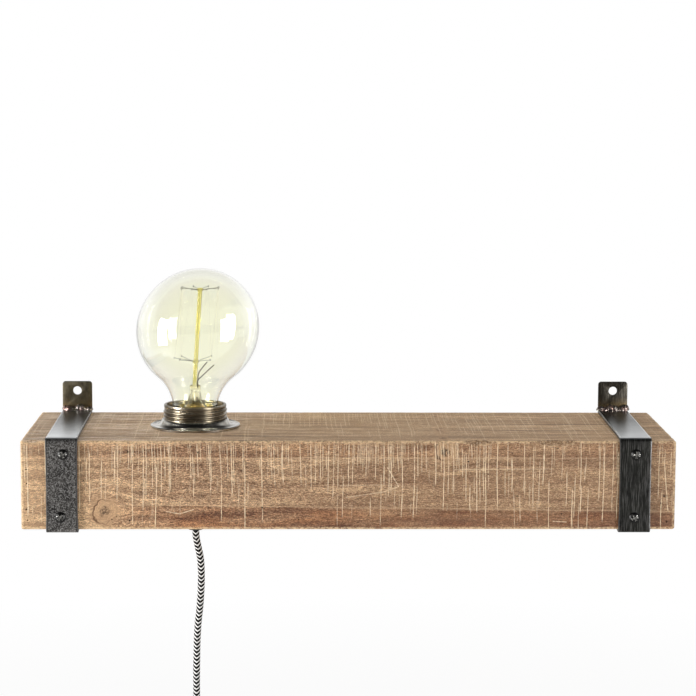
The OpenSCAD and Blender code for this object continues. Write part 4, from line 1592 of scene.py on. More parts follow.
@dataclass
class Cord:
    """One length of braided cord: out of the grip, through the switch, round the coil, to the plug.

    Its route repeats the one in the part's source. Points, radii and gaps of the route are in
    millimetres, and points are from the exit.

    Attributes:
        diameter: The cord's diameter, in metres.
        step: How far apart the swept rings are, outside the coil.
        coil_rings: How many rings are in one turn of the coil.
        sides: Points round a ring.
        free_length: Length from the grip to the plug, in metres; not used.
        lead_in: The stretch inside the nipple.
        drop: The slack drop from the exit to the switch.
        to_coil: The stretch from the switch to the coil.
        tail: The stretch from the coil to the plug.
        coil_centre: Middle of the coil.
        coil_radius: Radius of its outermost turn.
        gap: Distance between turns, and between layers.
        layers: How many layers it has.
        turns: How many turns it has.
        path: The middle line, in metres, once the cord is built.
    """

    diameter: float = CORD_D
    step: float = 1.3
    coil_rings: int = 150
    sides: int = 16
    free_length: float = 1.74
    lead_in: tuple[Point, ...] = ((0, 0, 29), (0, 0, 14))
    drop: tuple[Point, ...] = (
        (0, 0, 0), (0, 0, -2), (0.3, 0, -6), (1.5, 0, -12), (3, 0, -20), (3.5, 0, -30),
        (3.3, 0, -40), (2.5, 0, -52), (1.2, 0, -64), (0.5, 0, -76), (0.2, 0, -88), (0, 0, -100),
        (0, 0, -112), (0, 0, -126),
    )
    to_coil: tuple[Point, ...] = (
        (0, 0, -176), (0, 0, -182), (2, -0.8, -189.4), (7, -2.8, -197), (13, -5.3, -204.4),
        (17.5, -7.2, -211.6), (19, -7.8, -219), (19, -7.8, -228),
    )
    tail: tuple[Point, ...] = ((19, 7.8, -242.6), (19, 7.8, -250), (19, 7.8, -258), (19, 7.8, -270))
    coil_centre: Point = (-12, 0, -238)
    coil_radius: float = 31
    gap: float = 5.2
    layers: int = 4
    turns: int = 9
    path: list[Vector] = field(default_factory=list)

    @property
    def layer_turns(self) -> float:
        """Turns in one layer, apart from the half turns between layers."""
        return (self.turns - (self.layers - 1) / 2) / self.layers

    def coil_point(self, turn: float) -> Point:
        """Finds where the coil is after some turns.

        Args:
            turn: Turns from its start.

        Returns:
            The point, in millimetres from the exit.
        """
        stage = min(self.layers - 1, math.floor(turn / (self.layer_turns + 0.5)))
        within = turn - stage * (self.layer_turns + 0.5)
        past = max(0.0, within - self.layer_turns)
        inner = self.coil_radius - self.gap * self.layer_turns
        start, way = (self.coil_radius, -1) if stage % 2 == 0 else (inner, 1)
        radius = start + way * self.gap * (min(within, self.layer_turns) + past - 2 * past**2)
        layer = stage + (1 - math.cos(math.tau * past)) / 2
        x, y, z = self.coil_centre
        half = self.gap * (self.layers - 1) / 2
        return (
            x + radius * math.cos(math.tau * turn),
            y + self.gap * layer - half,
            z - radius * math.sin(math.tau * turn),
        )

    def route(self) -> list[Vector]:
        """Returns the whole middle line, ring by ring."""
        rings = self.turns * self.coil_rings
        coil = [self.coil_point(i / self.coil_rings) for i in range(rings + 1)]
        start, end = coil[0], coil[-1]
        before = (*start[:2], start[2] + self.diameter / MM)
        after = (*end[:2], end[2] - self.diameter / MM)
        inside = [(0, 0, -138), (0, 0, -151), (0, 0, -164)]
        first = [*self.lead_in, *self.drop, *inside, *self.to_coil, before, start]
        into, out_of = through(first, self.step), through([end, after, *self.tail[1:]], self.step)
        line = [*into[:-1], *(Vector(p) for p in coil), *out_of[1:]]
        return [Vector(EXIT) + p * MM for p in line]

    def build(self) -> Piece:
        """Returns the cord as a swept tube, with the turn round it and the run along it as its UV."""
        self.path = self.route()
        line, sides, count = self.path, self.sides, len(self.path)
        points: list[Vector] = []
        run = [0.0]
        for i, middle in enumerate(line):
            way = (line[min(i + 1, count - 1)] - line[max(i - 1, 0)]).normalized()
            side = Vector((0, 1, 0)).cross(way).normalized()
            other = way.cross(side)
            for j in range(sides):
                a = math.tau * j / sides
                points.append(middle + self.diameter / 2 * (math.cos(a) * side + math.sin(a) * other))
            if i:
                run.append(run[-1] + (middle - line[i - 1]).length)
        faces = [
            (i * sides + j, i * sides + (j + 1) % sides,
             (i + 1) * sides + (j + 1) % sides, (i + 1) * sides + j)
            for i in range(count - 1)
            for j in range(sides)
        ]
        ends = [tuple(reversed(range(sides))), tuple(range((count - 1) * sides, count * sides))]
        mesh = bpy.data.meshes.new("cord")
        mesh.from_pydata(points, [], [*faces, *ends])
        layer = mesh.uv_layers.new(name="run")
        uvs = [
            c
            for i in range(count - 1)
            for j in range(sides)
            for u, v in ((j, i), (j + 1, i), (j + 1, i + 1), (j, i + 1))
            for c in (u / sides, run[v])
        ]
        uvs += [c for i in (0, count - 1) for _ in range(sides) for c in (0.0, run[i])]
        layer.data.foreach_set("uv", uvs)
        piece = new_object("cord", mesh)
        with edit_mode(piece):
            bpy.ops.mesh.select_all(action="SELECT")
            bpy.ops.mesh.normals_make_consistent(inside=False)
        return fit_to(
            piece, "shelf", "textile_cord", "cord_inner", "cord_drop", "cord_to_coil", "cord_coil",
            "cord_tail", finish=BRAID, crease=60,
        )


# ---- block and straps ----


@dataclass
class Timber:
    """The reclaimed block: a beam with worn, chipped arrises, bored for the lampholder.

    Attributes:
        bore: Radius and depth of the hole for the lampholder.
        nipple_hole: Radius of the hole for the nipple.
        counterbore: Radius and depth of the hole for the nut, from below.
        wear: Usual width of the worn arris.
        chips: Middle along X, half its length and its depth, of each chip in the top front arris.
        worm: X, Z, radius and slant of each worm hole in the front, in millimetres.
    """

    bore: tuple[float, float] = (21.5 * MM, 44 * MM)
    nipple_hole: float = 5.3 * MM
    counterbore: tuple[float, float] = (11.5 * MM, 7 * MM)
    wear: float = 0.75 * MM
    chips: tuple[Point, ...] = (
        (81 * MM, 9 * MM, 2.4 * MM),
        (131 * MM, 13 * MM, 2.8 * MM),
        (-34 * MM, 4 * MM, 1.3 * MM),
        (24 * MM, 5 * MM, 1.2 * MM),
        (-201 * MM, 5 * MM, 1.6 * MM),
    )
    worm: tuple[tuple[float, float, float, float], ...] = (
        (-204.2, -33.6, 0.55, 1), (-204.0, -42.5, 0.5, 0.5), (-204.4, -59.2, 0.6, 1),
        (-203.6, -66.2, 0.5, 1), (-167.6, -65.7, 0.5, -1), (-150.4, -65.7, 0.45, 1),
        (-139.0, -66.4, 0.6, 0.5), (-140.1, -22.4, 0.7, 1), (-95.3, -22.7, 0.55, -1),
        (103.2, -23.1, 0.5, 1), (170.5, -25.4, 0.45, 1), (202.5, -67.3, 0.6, -1),
        (-32.0, -66.0, 0.5, 1), (12.5, -63.0, 0.45, -1), (88.0, -36.5, 0.5, 1),
    )

    def blank(self) -> Piece:
        """Returns the beam in fine squares that crowd together towards its arrises."""
        piece = block("timber_block", (-HALF_W, -DEPTH, UNDER), (HALF_W, 0, TOP))
        with edit_mode(piece, "EDGE"):
            for axis, cuts in ((0, 100), (0, 1), (1, 38), (2, 37)):
                pick_edges(piece, runs_along(axis))
                bpy.ops.mesh.subdivide(number_cuts=cuts)
                bpy.ops.mesh.select_all(action="DESELECT")
        points = points_of(piece)
        low, high = points.min(0), points.max(0)
        t = (points - low) / (high - low)
        t -= np.array([0.5, 0.72, 0.62]) * np.sin(math.tau * t) / math.tau
        place_points(piece, low + t * (high - low))
        return piece

    def bored(self, piece: Piece) -> None:
        """Bores it for the lampholder, the cord and the straps' screws.

        Args:
            piece: The block.
        """
        x, y, over = LAMP_X, LAMP_Y, 5 * MM
        radius, depth = self.bore
        wide, deep = self.counterbore
        holes = []
        for at in Strapping.screw_spots():
            tip = (at.x, -DEPTH + 23 * MM, at.z)
            holes.append(drum((at.x, -DEPTH - 2 * MM, at.z), tip, 1.75 * MM, 16))
        worm = []
        for left, height, r, slant in self.worm:
            start = (left * MM, -DEPTH - 1 * MM, height * MM)
            end = ((left + slant) * MM, -DEPTH + 4 * MM, height * MM)
            worm.append(drum(start, end, r * MM, 10))
        cut(
            piece,
            drum((x, y, TOP - depth), (x, y, TOP + over), radius, 96),
            drum((x, y, UNDER - over), (x, y, TOP - depth + over), self.nipple_hole),
            drum((x, y, UNDER - over), (x, y, UNDER + deep), wide, 64),
            joined("screw_holes", holes),
            joined("worm_holes", worm),
        )

    def worn(self, piece: Piece) -> None:
        """Wears its arrises down, chips them and marks both for the finish.

        Args:
            piece: The block.
        """
        points = points_of(piece)
        low, high = np.array([-HALF_W, -DEPTH, UNDER]), np.array([HALF_W, 0, TOP])
        uneven = 1 + 0.45 * waver(points, 7 * MM, 3) + 0.25 * waver(points, 1.9 * MM, 9)
        rough = waver(points, 2.4 * MM, 5)
        chip, near = np.zeros(len(points)), np.zeros(len(points))
        moved = points.copy()
        for first, second in ((1, 2), (0, 2), (0, 1)):
            for side_a, side_b in ((0, 0), (0, 1), (1, 0), (1, 1)):
                ends = (low, high)
                a = np.abs(ends[side_a][first] - points[:, first])
                b = np.abs(ends[side_b][second] - points[:, second])
                width = self.wear * uneven
                depth = np.zeros(len(points))
                if (first, second, side_a, side_b) == (1, 2, 0, 1):
                    for middle, half, deep in self.chips:
                        off = np.abs(points[:, 0] - middle) / half
                        depth = np.maximum(depth, deep * np.sqrt(np.clip(1 - off**2.4, 0, 1)))
                    depth *= 1 + 0.35 * rough
                    width = np.maximum(width, depth)
                on_it = ((a < ON_FACE) & (b < width)) | ((b < ON_FACE) & (a < width))
                off = np.maximum(a, b)
                shift = np.where(on_it, (width - off) / 2, 0)
                moved[:, first] += (1 - 2 * side_a) * shift
                moved[:, second] += (1 - 2 * side_b) * shift
                edge = ((a < ON_FACE) | (b < ON_FACE)) & (off < width + 0.7 * MM)
                near = np.maximum(near, edge)
                chip = np.maximum(chip, on_it * np.clip(depth / MM - 0.9, 0, 1))
        at_low, at_high = np.abs(points - low) < ON_FACE, np.abs(points - high) < ON_FACE
        outside = (at_low | at_high).any(1)
        inward = (0.11 + 0.1 * waver(points, (24 * MM, 6 * MM, 5 * MM), 1)) * MM
        faces = np.where(at_low, 1, 0) - np.where(at_high, 1, 0)
        moved += faces * (outside * inward * (1 - near))[:, None]
        place_points(piece, moved)
        mark(piece, "chip", chip)
        mark(piece, "arris", near * (chip < 0.1))

    def build(self) -> Piece:
        """Returns the finished block."""
        piece = self.blank()
        self.bored(piece)
        self.worn(piece)
        return fit_to(piece, "shelf", "timber", "timber_block", finish=PINE)


@dataclass
class Strapping:
    """One side's flat-bar strap with its wall tab, weld bead and two screws.

    Attributes:
        name: "left" or "right".
        side: -1 for the left, 1 for the right.
        strap_finish: Finish of the bar.
        tab_finish: Finish of the tab.
        width: Width of the bar.
        thick: Thickness of the bar.
        bend: Outer radius of its bends.
        under: Length of the leg below.
        tab_top: Height of the tab's top.
        hole: Radius of the tab's screw hole.
        lumps: How many lumps the weld bead is melted from.
        SPOTS: Side, offset along X and height of each screw, in millimetres.
    """

    SPOTS: ClassVar[tuple[Point, ...]] = (
        (-1, 2.3, -23.7), (-1, 0.5, -63.9), (1, -1.0, -23.7), (1, -1.5, -64.3),
    )

    name: str
    side: int
    strap_finish: Finish
    tab_finish: Finish
    width: float = 20 * MM
    thick: float = 2 * MM
    bend: float = 3 * MM
    under: float = 100 * MM
    tab_top: float = TOP + 21.5 * MM
    hole: float = 2.9 * MM
    lumps: int = 8

    @classmethod
    def screw_spots(cls) -> list[Vector]:
        """Returns the middle of each screw's head on the straps' front."""
        return [
            Vector((side * STRAP_X + dx * MM, -DEPTH - 2 * MM, z * MM)) for side, dx, z in cls.SPOTS
        ]

    def legs(self) -> list[tuple[Vector, float]]:
        """Returns each straight leg's direction and length, from the wall and back under."""
        return [
            (Vector((0, -1, 0)), DEPTH + self.thick - self.bend),
            (Vector((0, 0, -1)), TOP - UNDER + 2 * (self.thick - self.bend)),
            (Vector((0, 1, 0)), self.under + self.thick - self.bend),
        ]

    def strap(self) -> Piece:
        """Returns the bar, drawn out over the block, round both bends and back under it."""
        x = self.side * STRAP_X
        bpy.ops.object.select_all(action="DESELECT")
        bpy.ops.mesh.primitive_grid_add(x_subdivisions=10, y_subdivisions=2, size=1)
        start = bpy.context.active_object
        start.scale = (self.width, self.thick, 1)
        start.rotation_euler = (math.radians(90), 0, 0)
        start.location = (x, 0, TOP + self.thick / 2)
        piece = settle(start, f"strap_{self.name}")
        corner_y = -DEPTH - self.thick + self.bend
        corners = [TOP + self.thick - self.bend, UNDER - self.thick + self.bend]
        with edit_mode(piece, "FACE"):
            bpy.ops.mesh.select_all(action="SELECT")
            for i, (way, length) in enumerate(self.legs()):
                steps = max(8, round(length / (4 * MM)))
                for _ in range(steps):
                    extrude(way * (length / steps))
                if i < 2:
                    bpy.ops.mesh.spin(
                        steps=8, angle=-math.radians(90), axis=(1, 0, 0),
                        center=(x, corner_y, corners[i]),
                    )
        tidy_mesh(piece)
        self.hand_bent(piece, corner_y, corners)
        soften(piece, 0.28 * MM, 2, 60)
        cut(piece, *(
            drum((at.x, at.y - 2 * MM, at.z), (at.x, at.y + 4 * MM, at.z), 1.9 * MM, 24)
            for at in self.screw_spots()
            if at.x * self.side > 0
        ))
        return fit_to(piece, "shelf", "strap_steel", f"strap_{self.name}", finish=self.strap_finish)

    def hand_bent(self, piece: Piece, corner_y: float, corners: Sequence[float]) -> None:
        """Flares the bar a little at its bends, and stands its front leg nearer the middle.

        Args:
            piece: The bar.
            corner_y: Depth of both bends' centres.
            corners: Their heights.
        """
        points = points_of(piece)
        x = self.side * STRAP_X
        across = (points[:, 0] - x) / (self.width / 2)
        near = sum(
            np.exp(-(((points[:, 1] - corner_y) ** 2 + (points[:, 2] - z) ** 2) / (5 * MM) ** 2))
            for z in corners
        )
        by_edge = np.stack([np.sign(across), points[:, 1], points[:, 2]], 1)
        wander = waver(by_edge, (1, 14 * MM, 14 * MM), self.side)
        points[:, 0] += across * (0.32 * MM * near + 0.05 * MM * wander - 0.1 * MM)
        points[:, 0] -= self.side * TOE * np.clip(-points[:, 1] / DEPTH, 0, 1)
        place_points(piece, points)

    def tab(self) -> Piece:
        """Returns the tab that stands on the wall, with its screw hole."""
        x = self.side * STRAP_X
        half = self.width / 2
        low, high = (x - half, -self.thick, TOP + self.thick), (x + half, 0, self.tab_top)
        piece = block(f"wall_tab_{self.name}", low, high)
        with edit_mode(piece, "EDGE"):
            pick_edges(piece, lambda middle, way: abs(way.y) > ALIGNED and middle.z > TOP + 9 * MM)
            bpy.ops.mesh.bevel(offset=2 * MM, segments=6)
        cut(piece, drum((x, 3 * MM, 0), (x, -5 * MM, 0), self.hole))
        soften(piece, 0.25 * MM)
        return fit_to(piece, "shelf", "tab_steel", f"wall_tab_{self.name}", finish=self.tab_finish)

    def weld(self) -> Piece:
        """Returns the bead in the corner of tab and strap, melted together from lumps."""
        x = self.side * STRAP_X
        lumps = []
        for i in range(self.lumps):
            size = (2.7 + 0.6 * math.sin(math.radians(110 * i + 60 * self.side))) * MM
            at = x + self.width * 0.94 * ((i + 0.5) / self.lumps - 0.5)
            out = (0.7 + 0.7 * math.sin(math.radians(77 * i + 40 * self.side))) * MM
            bpy.ops.object.select_all(action="DESELECT")
            bpy.ops.mesh.primitive_ico_sphere_add(
                subdivisions=3, radius=size,
                location=(at, -self.thick - out, TOP + self.thick + 1.2 * MM - out),
            )
            lumps.append(bpy.context.active_object)
        piece = joined(f"weld_bead_{self.name}", lumps)
        modify(piece, "REMESH", mode="VOXEL", voxel_size=0.22 * MM)
        points = points_of(piece)
        middle = np.array([0, -self.thick - 0.5 * MM, TOP + self.thick + 0.5 * MM])
        out = (points - middle) * np.array([0, 1, 1])
        out /= np.maximum(np.linalg.norm(out, axis=1), LEAST)[:, None]
        swell = 0.4 * waver(points, 1.7 * MM, self.side) + 0.16 * waver(points, 0.6 * MM, 4) - 0.3
        place_points(piece, points + out * (swell * MM)[:, None])
        shave(piece, (0, -self.thick, 0), (0, 1, 0))
        shave(piece, (0, 0, TOP + self.thick), (0, 0, -1))
        return fit_to(piece, "shelf", "weld", f"weld_bead_{self.name}", finish=WELD, crease=50)

    def screws(self) -> list[Piece]:
        """Returns its two cross-head screws, turned once and copied, each left at its own angle."""
        ball, sunk = 4.5, 2.6
        heights = (0.25, 0.6, 0.95, 1.25, 1.5, 1.7, 1.83, 1.89)
        dome = [(math.sqrt(ball**2 - (z + sunk) ** 2), z) for z in heights]
        shank = [(0.3, -25), (1.7, -21), (1.7, -0.01), (3.35, -0.01), (3.5, 0.12)]
        profile = [*shank, *dome, (0.05, 1.9)]
        first = lathe("strap_screw", in_metres(profile), (0, 0, 0), 40)
        for turn in (0, 90):
            tool = block("recess", (-1.9 * MM, -0.42 * MM, 0.75 * MM), (1.9 * MM, 0.42 * MM, 3 * MM))
            cut(first, placed(tool, Matrix.Rotation(math.radians(turn), 4, "Z")))
        soften(first, 0.07 * MM, 2, 50)
        BLACK_SCREW.on(first)
        # The cross recess takes the pale finish of a worn recess, which also paints its glints.
        first.data.materials.append(RUBBED_RECESS_GLINTS.material())
        for face in first.data.polygons:
            wide, narrow = sorted((abs(face.center.x), abs(face.center.y)), reverse=True)
            in_cross = wide < 2.05 * MM and narrow < 0.55 * MM and face.center.z > 0.7 * MM
            face.material_index = int(in_cross)
        made = []
        for i, at in enumerate(self.screw_spots()):
            if at.x * self.side < 0:
                continue
            piece = twin(first, f"strap_screw_{i + 1}")
            to_front = Matrix.Rotation(math.radians(90), 4, "X")
            driven = Matrix.Rotation(math.radians(20 + 33 * i), 4, "Z")
            placed(piece, Matrix.Translation(at) @ to_front @ driven)
            made.append(fit_to(piece, "shelf", "black_screw", "strap_screws"))
        bpy.data.objects.remove(first)
        return made

    def build(self) -> None:
        """Builds everything on its side."""
        self.strap()
        self.tab()
        self.weld()
        self.screws()


# ---- lampholder and bulb ----


def threaded_sleeve(
    name: str, rows: Profile, wall: float, span: tuple[float, float], depth: float
) -> Piece:
    """Makes a thin sleeve with the bulb's thread rolled in both its faces.

    Args:
        name: What it is called.
        rows: Outer radius and height of each row, from the foot up, in millimetres.
        wall: Its thickness.
        span: Heights between which the thread runs.
        depth: Half of the thread's depth.

    Returns:
        The sleeve.
    """
    outer = in_metres(rows)
    inner = [(r - wall, z) for r, z in reversed(outer)]
    piece = lathe(name, [*outer, *inner, outer[0]], LAMP, 96)
    helix(piece, LAMP, span, lambda at, turn: depth * np.cos(math.tau * (at[0] / E27_PITCH - turn)))
    return piece


@dataclass
class Lampholder:
    """The metal holder sunk in the block: threaded sleeve, shade ring, screw shell, grip and cores.

    Attributes:
        crest: Radius of the outer thread's crests.
        root: Radius of its roots.
        wall: Thickness of the sleeve under its roots.
        pitch: The outer thread's pitch.
        rim: Height of the sleeve's rim over the block.
        foot: Height of its lower end.
    """

    crest: float = 20.85 * MM
    root: float = 19.95 * MM
    wall: float = 1.2 * MM
    pitch: float = 2.5 * MM
    rim: float = 14.8 * MM
    foot: float = -15 * MM

    def sleeve(self) -> Piece:
        """Returns the sleeve: thin turned wall, rolled outer thread, and a plain band at its rim."""
        rows = 165
        top = self.rim - 2.1 * MM
        thread = [(self.root, self.foot + (top - self.foot) * i / rows) for i in range(rows + 1)]
        inner = self.root - self.wall
        band = self.root + 0.45 * MM
        profile = [
            (inner, self.foot), *thread, (band - 0.1 * MM, self.rim - 1.7 * MM), (band, self.rim - 1.4 * MM),
            (band, self.rim - 0.5 * MM), (band - 0.15 * MM, self.rim - 0.15 * MM), (self.root, self.rim),
            (inner + 0.4 * MM, self.rim), (inner + 0.1 * MM, self.rim - 0.12 * MM),
            (inner, self.rim - 0.45 * MM), (inner, self.foot),
        ]
        piece = lathe("holder_shell", profile, LAMP, 128)
        helix(piece, LAMP, (self.foot, top), self._ridges)
        return fit_to(piece, "shelf", "holder_metal", "holder_shell", finish=SLEEVE_NICKEL, crease=50)

    def _ridges(self, at: np.ndarray, turn: np.ndarray) -> np.ndarray:
        """Gives the outer thread's rise at each point.

        Args:
            at: Heights and radii.
            turn: Turns round the axis.

        Returns:
            What is added to the radius.
        """
        height, radius = at
        phase = (height / self.pitch - turn) % 1
        ridge = np.clip(1 - (np.abs(phase - 0.5) / 0.42) ** 2.6, 0, 1)
        return np.where(radius > self.root - 0.01 * MM, ridge * (self.crest - self.root), 0)

    def shade_ring(self) -> Piece:
        """Returns the dished ring: flat flange with a rolled lip, rising to a collar."""
        profile = [
            (20.95, 0), (29.1, 0), (29.3, 0.2), (29.3, 1.2), (29.1, 1.45), (28.75, 1.6), (28.3, 1.5),
            (27.9, 1.2), (26.9, 1.0), (25.9, 0.95), (25.0, 1.05), (24.3, 1.3), (23.7, 1.65),
            (23.2, 2.1), (22.8, 2.6), (22.5, 3.2), (22.25, 3.8), (22.0, 4.4), (21.7, 4.85),
            (21.35, 5.1), (20.95, 5.2), (20.95, 0),
        ]
        piece = lathe("shade_ring", in_metres(profile), LAMP, 160)
        return fit_to(piece, "shelf", "holder_metal", "shade_ring", finish=RING_NICKEL, crease=50)

    def screw_shell(self) -> Piece:
        """Returns the brass shell that the bulb screws into."""
        rows = [(13.4, -8.5 + 0.3 * i) for i in range(55)]
        piece = threaded_sleeve("screw_shell", rows, 0.45 * MM, (-10 * MM, 10 * MM), 0.5 * MM)
        return fit_to(piece, "shelf", "brass", "screw_shell", finish=BRASS, crease=60)

    def cord_grip(self) -> Piece:
        """Returns the black grip below the block, with its waist, its rounded shoulder and its screw hole."""
        profile = [
            (2.5, -69), (4.7, -69), (5.1, -68.8), (5.3, -68.3), (5.9, -67.2), (6.6, -66.2), (7.1, -65),
            (7.35, -63.8), (7.4, -63), (7.4, -58.2), (7.15, -57.6), (6.7, -57.4), (5, -57.4),
            (5, -63.1), (2.5, -63.1), (2.5, -69),
        ]
        piece = lathe("cord_grip", in_metres(profile), LAMP, 64)
        z = TOP - 65.7 * MM
        cut(piece, drum((LAMP_X, LAMP_Y, z), (LAMP_X, LAMP_Y + 12 * MM, z), 1.6 * MM, 24))
        return fit_to(piece, "shelf", "black_plastic", "cord_grip", finish=BLACK_PLASTIC)

    def cores(self) -> list[Piece]:
        """Returns the two insulated cores that fan out from the cord to the terminals."""
        route = [
            (1.2, 31), (1.2, 32), (1.8, 33.4), (3.4, 34.8), (5.6, 35.8), (7.8, 36.8), (8.8, 38.2),
            (9, 39.8),
        ]
        made = []
        for name, side, finish in (("wire_brown", 1, BROWN_PVC), ("wire_blue", -1, BLUE_PVC)):
            line = through([(side * x, 0, z) for x, z in route], 0.5)
            piece = rod(name, [Vector(EXIT) + p * MM for p in line], 1.1 * MM, 12)
            slot = name.replace("wire_", "") + "_pvc"
            made.append(fit_to(piece, "shelf", slot, name, finish=finish, crease=60))
        return made

    def build(self) -> None:
        """Builds every piece of it."""
        self.sleeve()
        self.shade_ring()
        self.screw_shell()
        self.cord_grip()
        self.cores()


@dataclass
class Bulb:
    """The globe bulb: blown glass, threaded cap, glass stem, and a filament strung between two stars.

    Attributes:
        globe_r: Radius of the globe.
        globe_z: Height of its centre over the block.
        neck_r: Radius of the neck.
        neck_z: Height where the neck's curve is narrowest.
        glass: Thickness of the glass.
        lean: How far the glass leans to the right for each metre that it rises.
        arms: Arms of each star.
        top_r: How far out the upper star's arms reach.
        low_r: How far out the lower star's arms reach.
        rod_foot: Foot of the stem's rod, from the axis at the block's top.
        lower_hub: Middle of the lower star.
        upper_hub: Middle of the upper star.
        hub_r: Radius of the glass button in a star's middle.
    """

    globe_r: float = 40 * MM
    globe_z: float = 64 * MM
    neck_r: float = 14.6 * MM
    neck_z: float = 11 * MM
    glass: float = 0.8 * MM
    lean: float = 0.0435
    arms: int = 8
    top_r: float = 12.8 * MM
    low_r: float = 13.9 * MM
    rod_foot: Point = (-0.5 * MM, 0, 26 * MM)
    lower_hub: Point = (0.5 * MM, 0, 42.6 * MM)
    upper_hub: Point = (3.5 * MM, 0, 90 * MM)
    hub_r: float = 2.2 * MM

    def side(self, inwards: float) -> list[tuple[float, float]]:
        """Draws the glass from its crown down to its neck.

        Args:
            inwards: How far inside the outer face.

        Returns:
            Radius and height of each row.
        """
        fall = self.globe_z - self.neck_z
        waist = (fall**2 + self.neck_r**2 - self.globe_r**2) / (2 * (self.globe_r - self.neck_r))
        away = self.neck_r + waist
        meet = math.atan2(fall, away)
        rows = []
        round_rows, neck_rows = 60, 20
        r = self.globe_r - inwards
        for i in range(round_rows + 1):
            a = math.pi / 2 - (math.pi / 2 + meet) * i / round_rows
            rows.append((r * math.cos(a), self.globe_z + r * math.sin(a)))
        r = waist + inwards
        for i in range(1, neck_rows + 1):
            a = math.pi - meet + (meet - math.radians(7.5)) * i / neck_rows
            rows.append((away + r * math.cos(a), self.neck_z + r * math.sin(a)))
        return rows

    def globe(self) -> Piece:
        """Returns the glass, blown round and drawn in to its neck."""
        foot = [
            (14.5, 13.9), (14.2, 13.7), (13.7, 13.5), (12.9, 13.45), (12.5, 13.3), (12.3, 12.9),
            (12.3, 10.2), (11.5, 10.2), (11.5, 13.2), (11.9, 13.8), (12.7, 14.3),
        ]
        inner = self.side(self.glass)
        rows = [*self.side(0), *in_metres(foot), *inner[::-1]]
        piece = lathe("bulb_glass", rows, LAMP, 144)
        self.leaned(piece)
        return fit_to(piece, "bulb", "tinted_glass", "bulb_glass", finish=TINTED_GLASS, crease=180)

    def leaned(self, piece: Piece) -> None:
        """Leans a piece of the bulb to the right above the cap.

        Args:
            piece: The piece.
        """
        skirt, onset = 14 * MM, 6 * MM
        points = points_of(piece)
        rise = np.maximum(points[:, 2] - TOP - skirt, 0)
        points[:, 0] += self.lean * rise**2 / (rise + onset)
        place_points(piece, points)

    def cap(self) -> Piece:
        """Returns the threaded cap, with its skirt round the glass."""
        rows = [(10.7, -7.6), (11.3, -7.4), (11.8, -7), (12.1, -6.6), (12.3, -6.3)]
        rows += [(12.525, -6.1 + 0.3 * i) for i in range(48)]
        rows += [
            (12.6, 8.5), (12.7, 9), (12.95, 9.5), (13.05, 9.8), (13.1, 12.4), (13.3, 12.8), (13.7, 13.2),
        ]
        piece = threaded_sleeve("bulb_cap", rows, 0.35 * MM, (-7 * MM, 9 * MM), 0.525 * MM)
        return fit_to(piece, "bulb", "cap_brass", "bulb_cap", finish=CAP_METAL, crease=60)

    def stem(self) -> Piece:
        """Returns the glass stem: flare, flattened pinch, and the rod with a button at each star."""
        flare = [
            (0, 23.6), (1.2, 23.5), (2, 23.2), (2.4, 21), (2.9, 18.6), (3.6, 16.4), (4.8, 14.6),
            (6.2, 13.2), (7.8, 12), (9.6, 11), (10.3, 10.3), (11.3, 10.3), (11.1, 11.2), (10.6, 12),
            (9, 13), (7, 14.2), (5.6, 15.5), (4.6, 17), (3.9, 18.8), (3.4, 21), (3.1, 23), (3, 25),
            (0, 25),
        ]
        piece = lathe("bulb_stem", in_metres(flare), LAMP, 64)
        points = points_of(piece)
        from_axis = points[:, :2] - np.array(LAMP[:2])
        turn = np.arctan2(from_axis[:, 1], from_axis[:, 0])
        height = (points[:, 2] - TOP) / MM
        fluted = 1 + 0.13 * np.cos(7 * turn + 0.5 * height) * np.clip((height - 13) / 3, 0, 1)
        points[:, :2] = np.array(LAMP[:2]) + from_axis * fluted[:, None]
        place_points(piece, points)
        x, y, z = LAMP
        low = (x - 3.5 * MM, y - 1.3 * MM, z + 23 * MM)
        pinch = block("pinch", low, (x + 3.5 * MM, y + 1.3 * MM, z + 28 * MM))
        soften(pinch, 0.9 * MM, 4)
        ends = [Vector(LAMP) + Vector(p) for p in (self.rod_foot, self.lower_hub, self.upper_hub)]
        upright = rod("upright", ends, 1.45 * MM, 24)
        r = self.hub_r
        profile = []
        for degrees in range(-90, 91, 12):
            a = math.radians(degrees)
            pinched = 1.0 if abs(degrees) < 60 else 0.98
            profile.append((r * math.cos(a) * pinched, 0.62 * r * math.sin(a)))
        buttons = [lathe("button", profile, tuple(at), 32) for at in ends[1:]]
        fuse(piece, pinch, upright, *buttons)
        return fit_to(piece, "bulb", "stem_glass", "bulb_stem", finish=STEM_GLASS, crease=50)

    def hook(self, hub: Point, radius: float, turns: float, rise: float) -> Vector:
        """Returns where a star's arm ends, from its hub, reach, direction in turns and climb."""
        a = math.tau * turns
        return Vector(LAMP) + Vector(hub) + radius * Vector((math.cos(a), math.sin(a), rise))

    def hooks(self) -> tuple[list[Vector], list[Vector]]:
        """Returns the ends of the upper and of the lower star's arms."""
        count = range(self.arms)
        top = [self.hook(self.upper_hub, self.top_r, (i + 0.5) / self.arms, 0.09) for i in count]
        low = [self.hook(self.lower_hub, self.low_r, (i + 1) / self.arms, 0.17) for i in count]
        return top, low

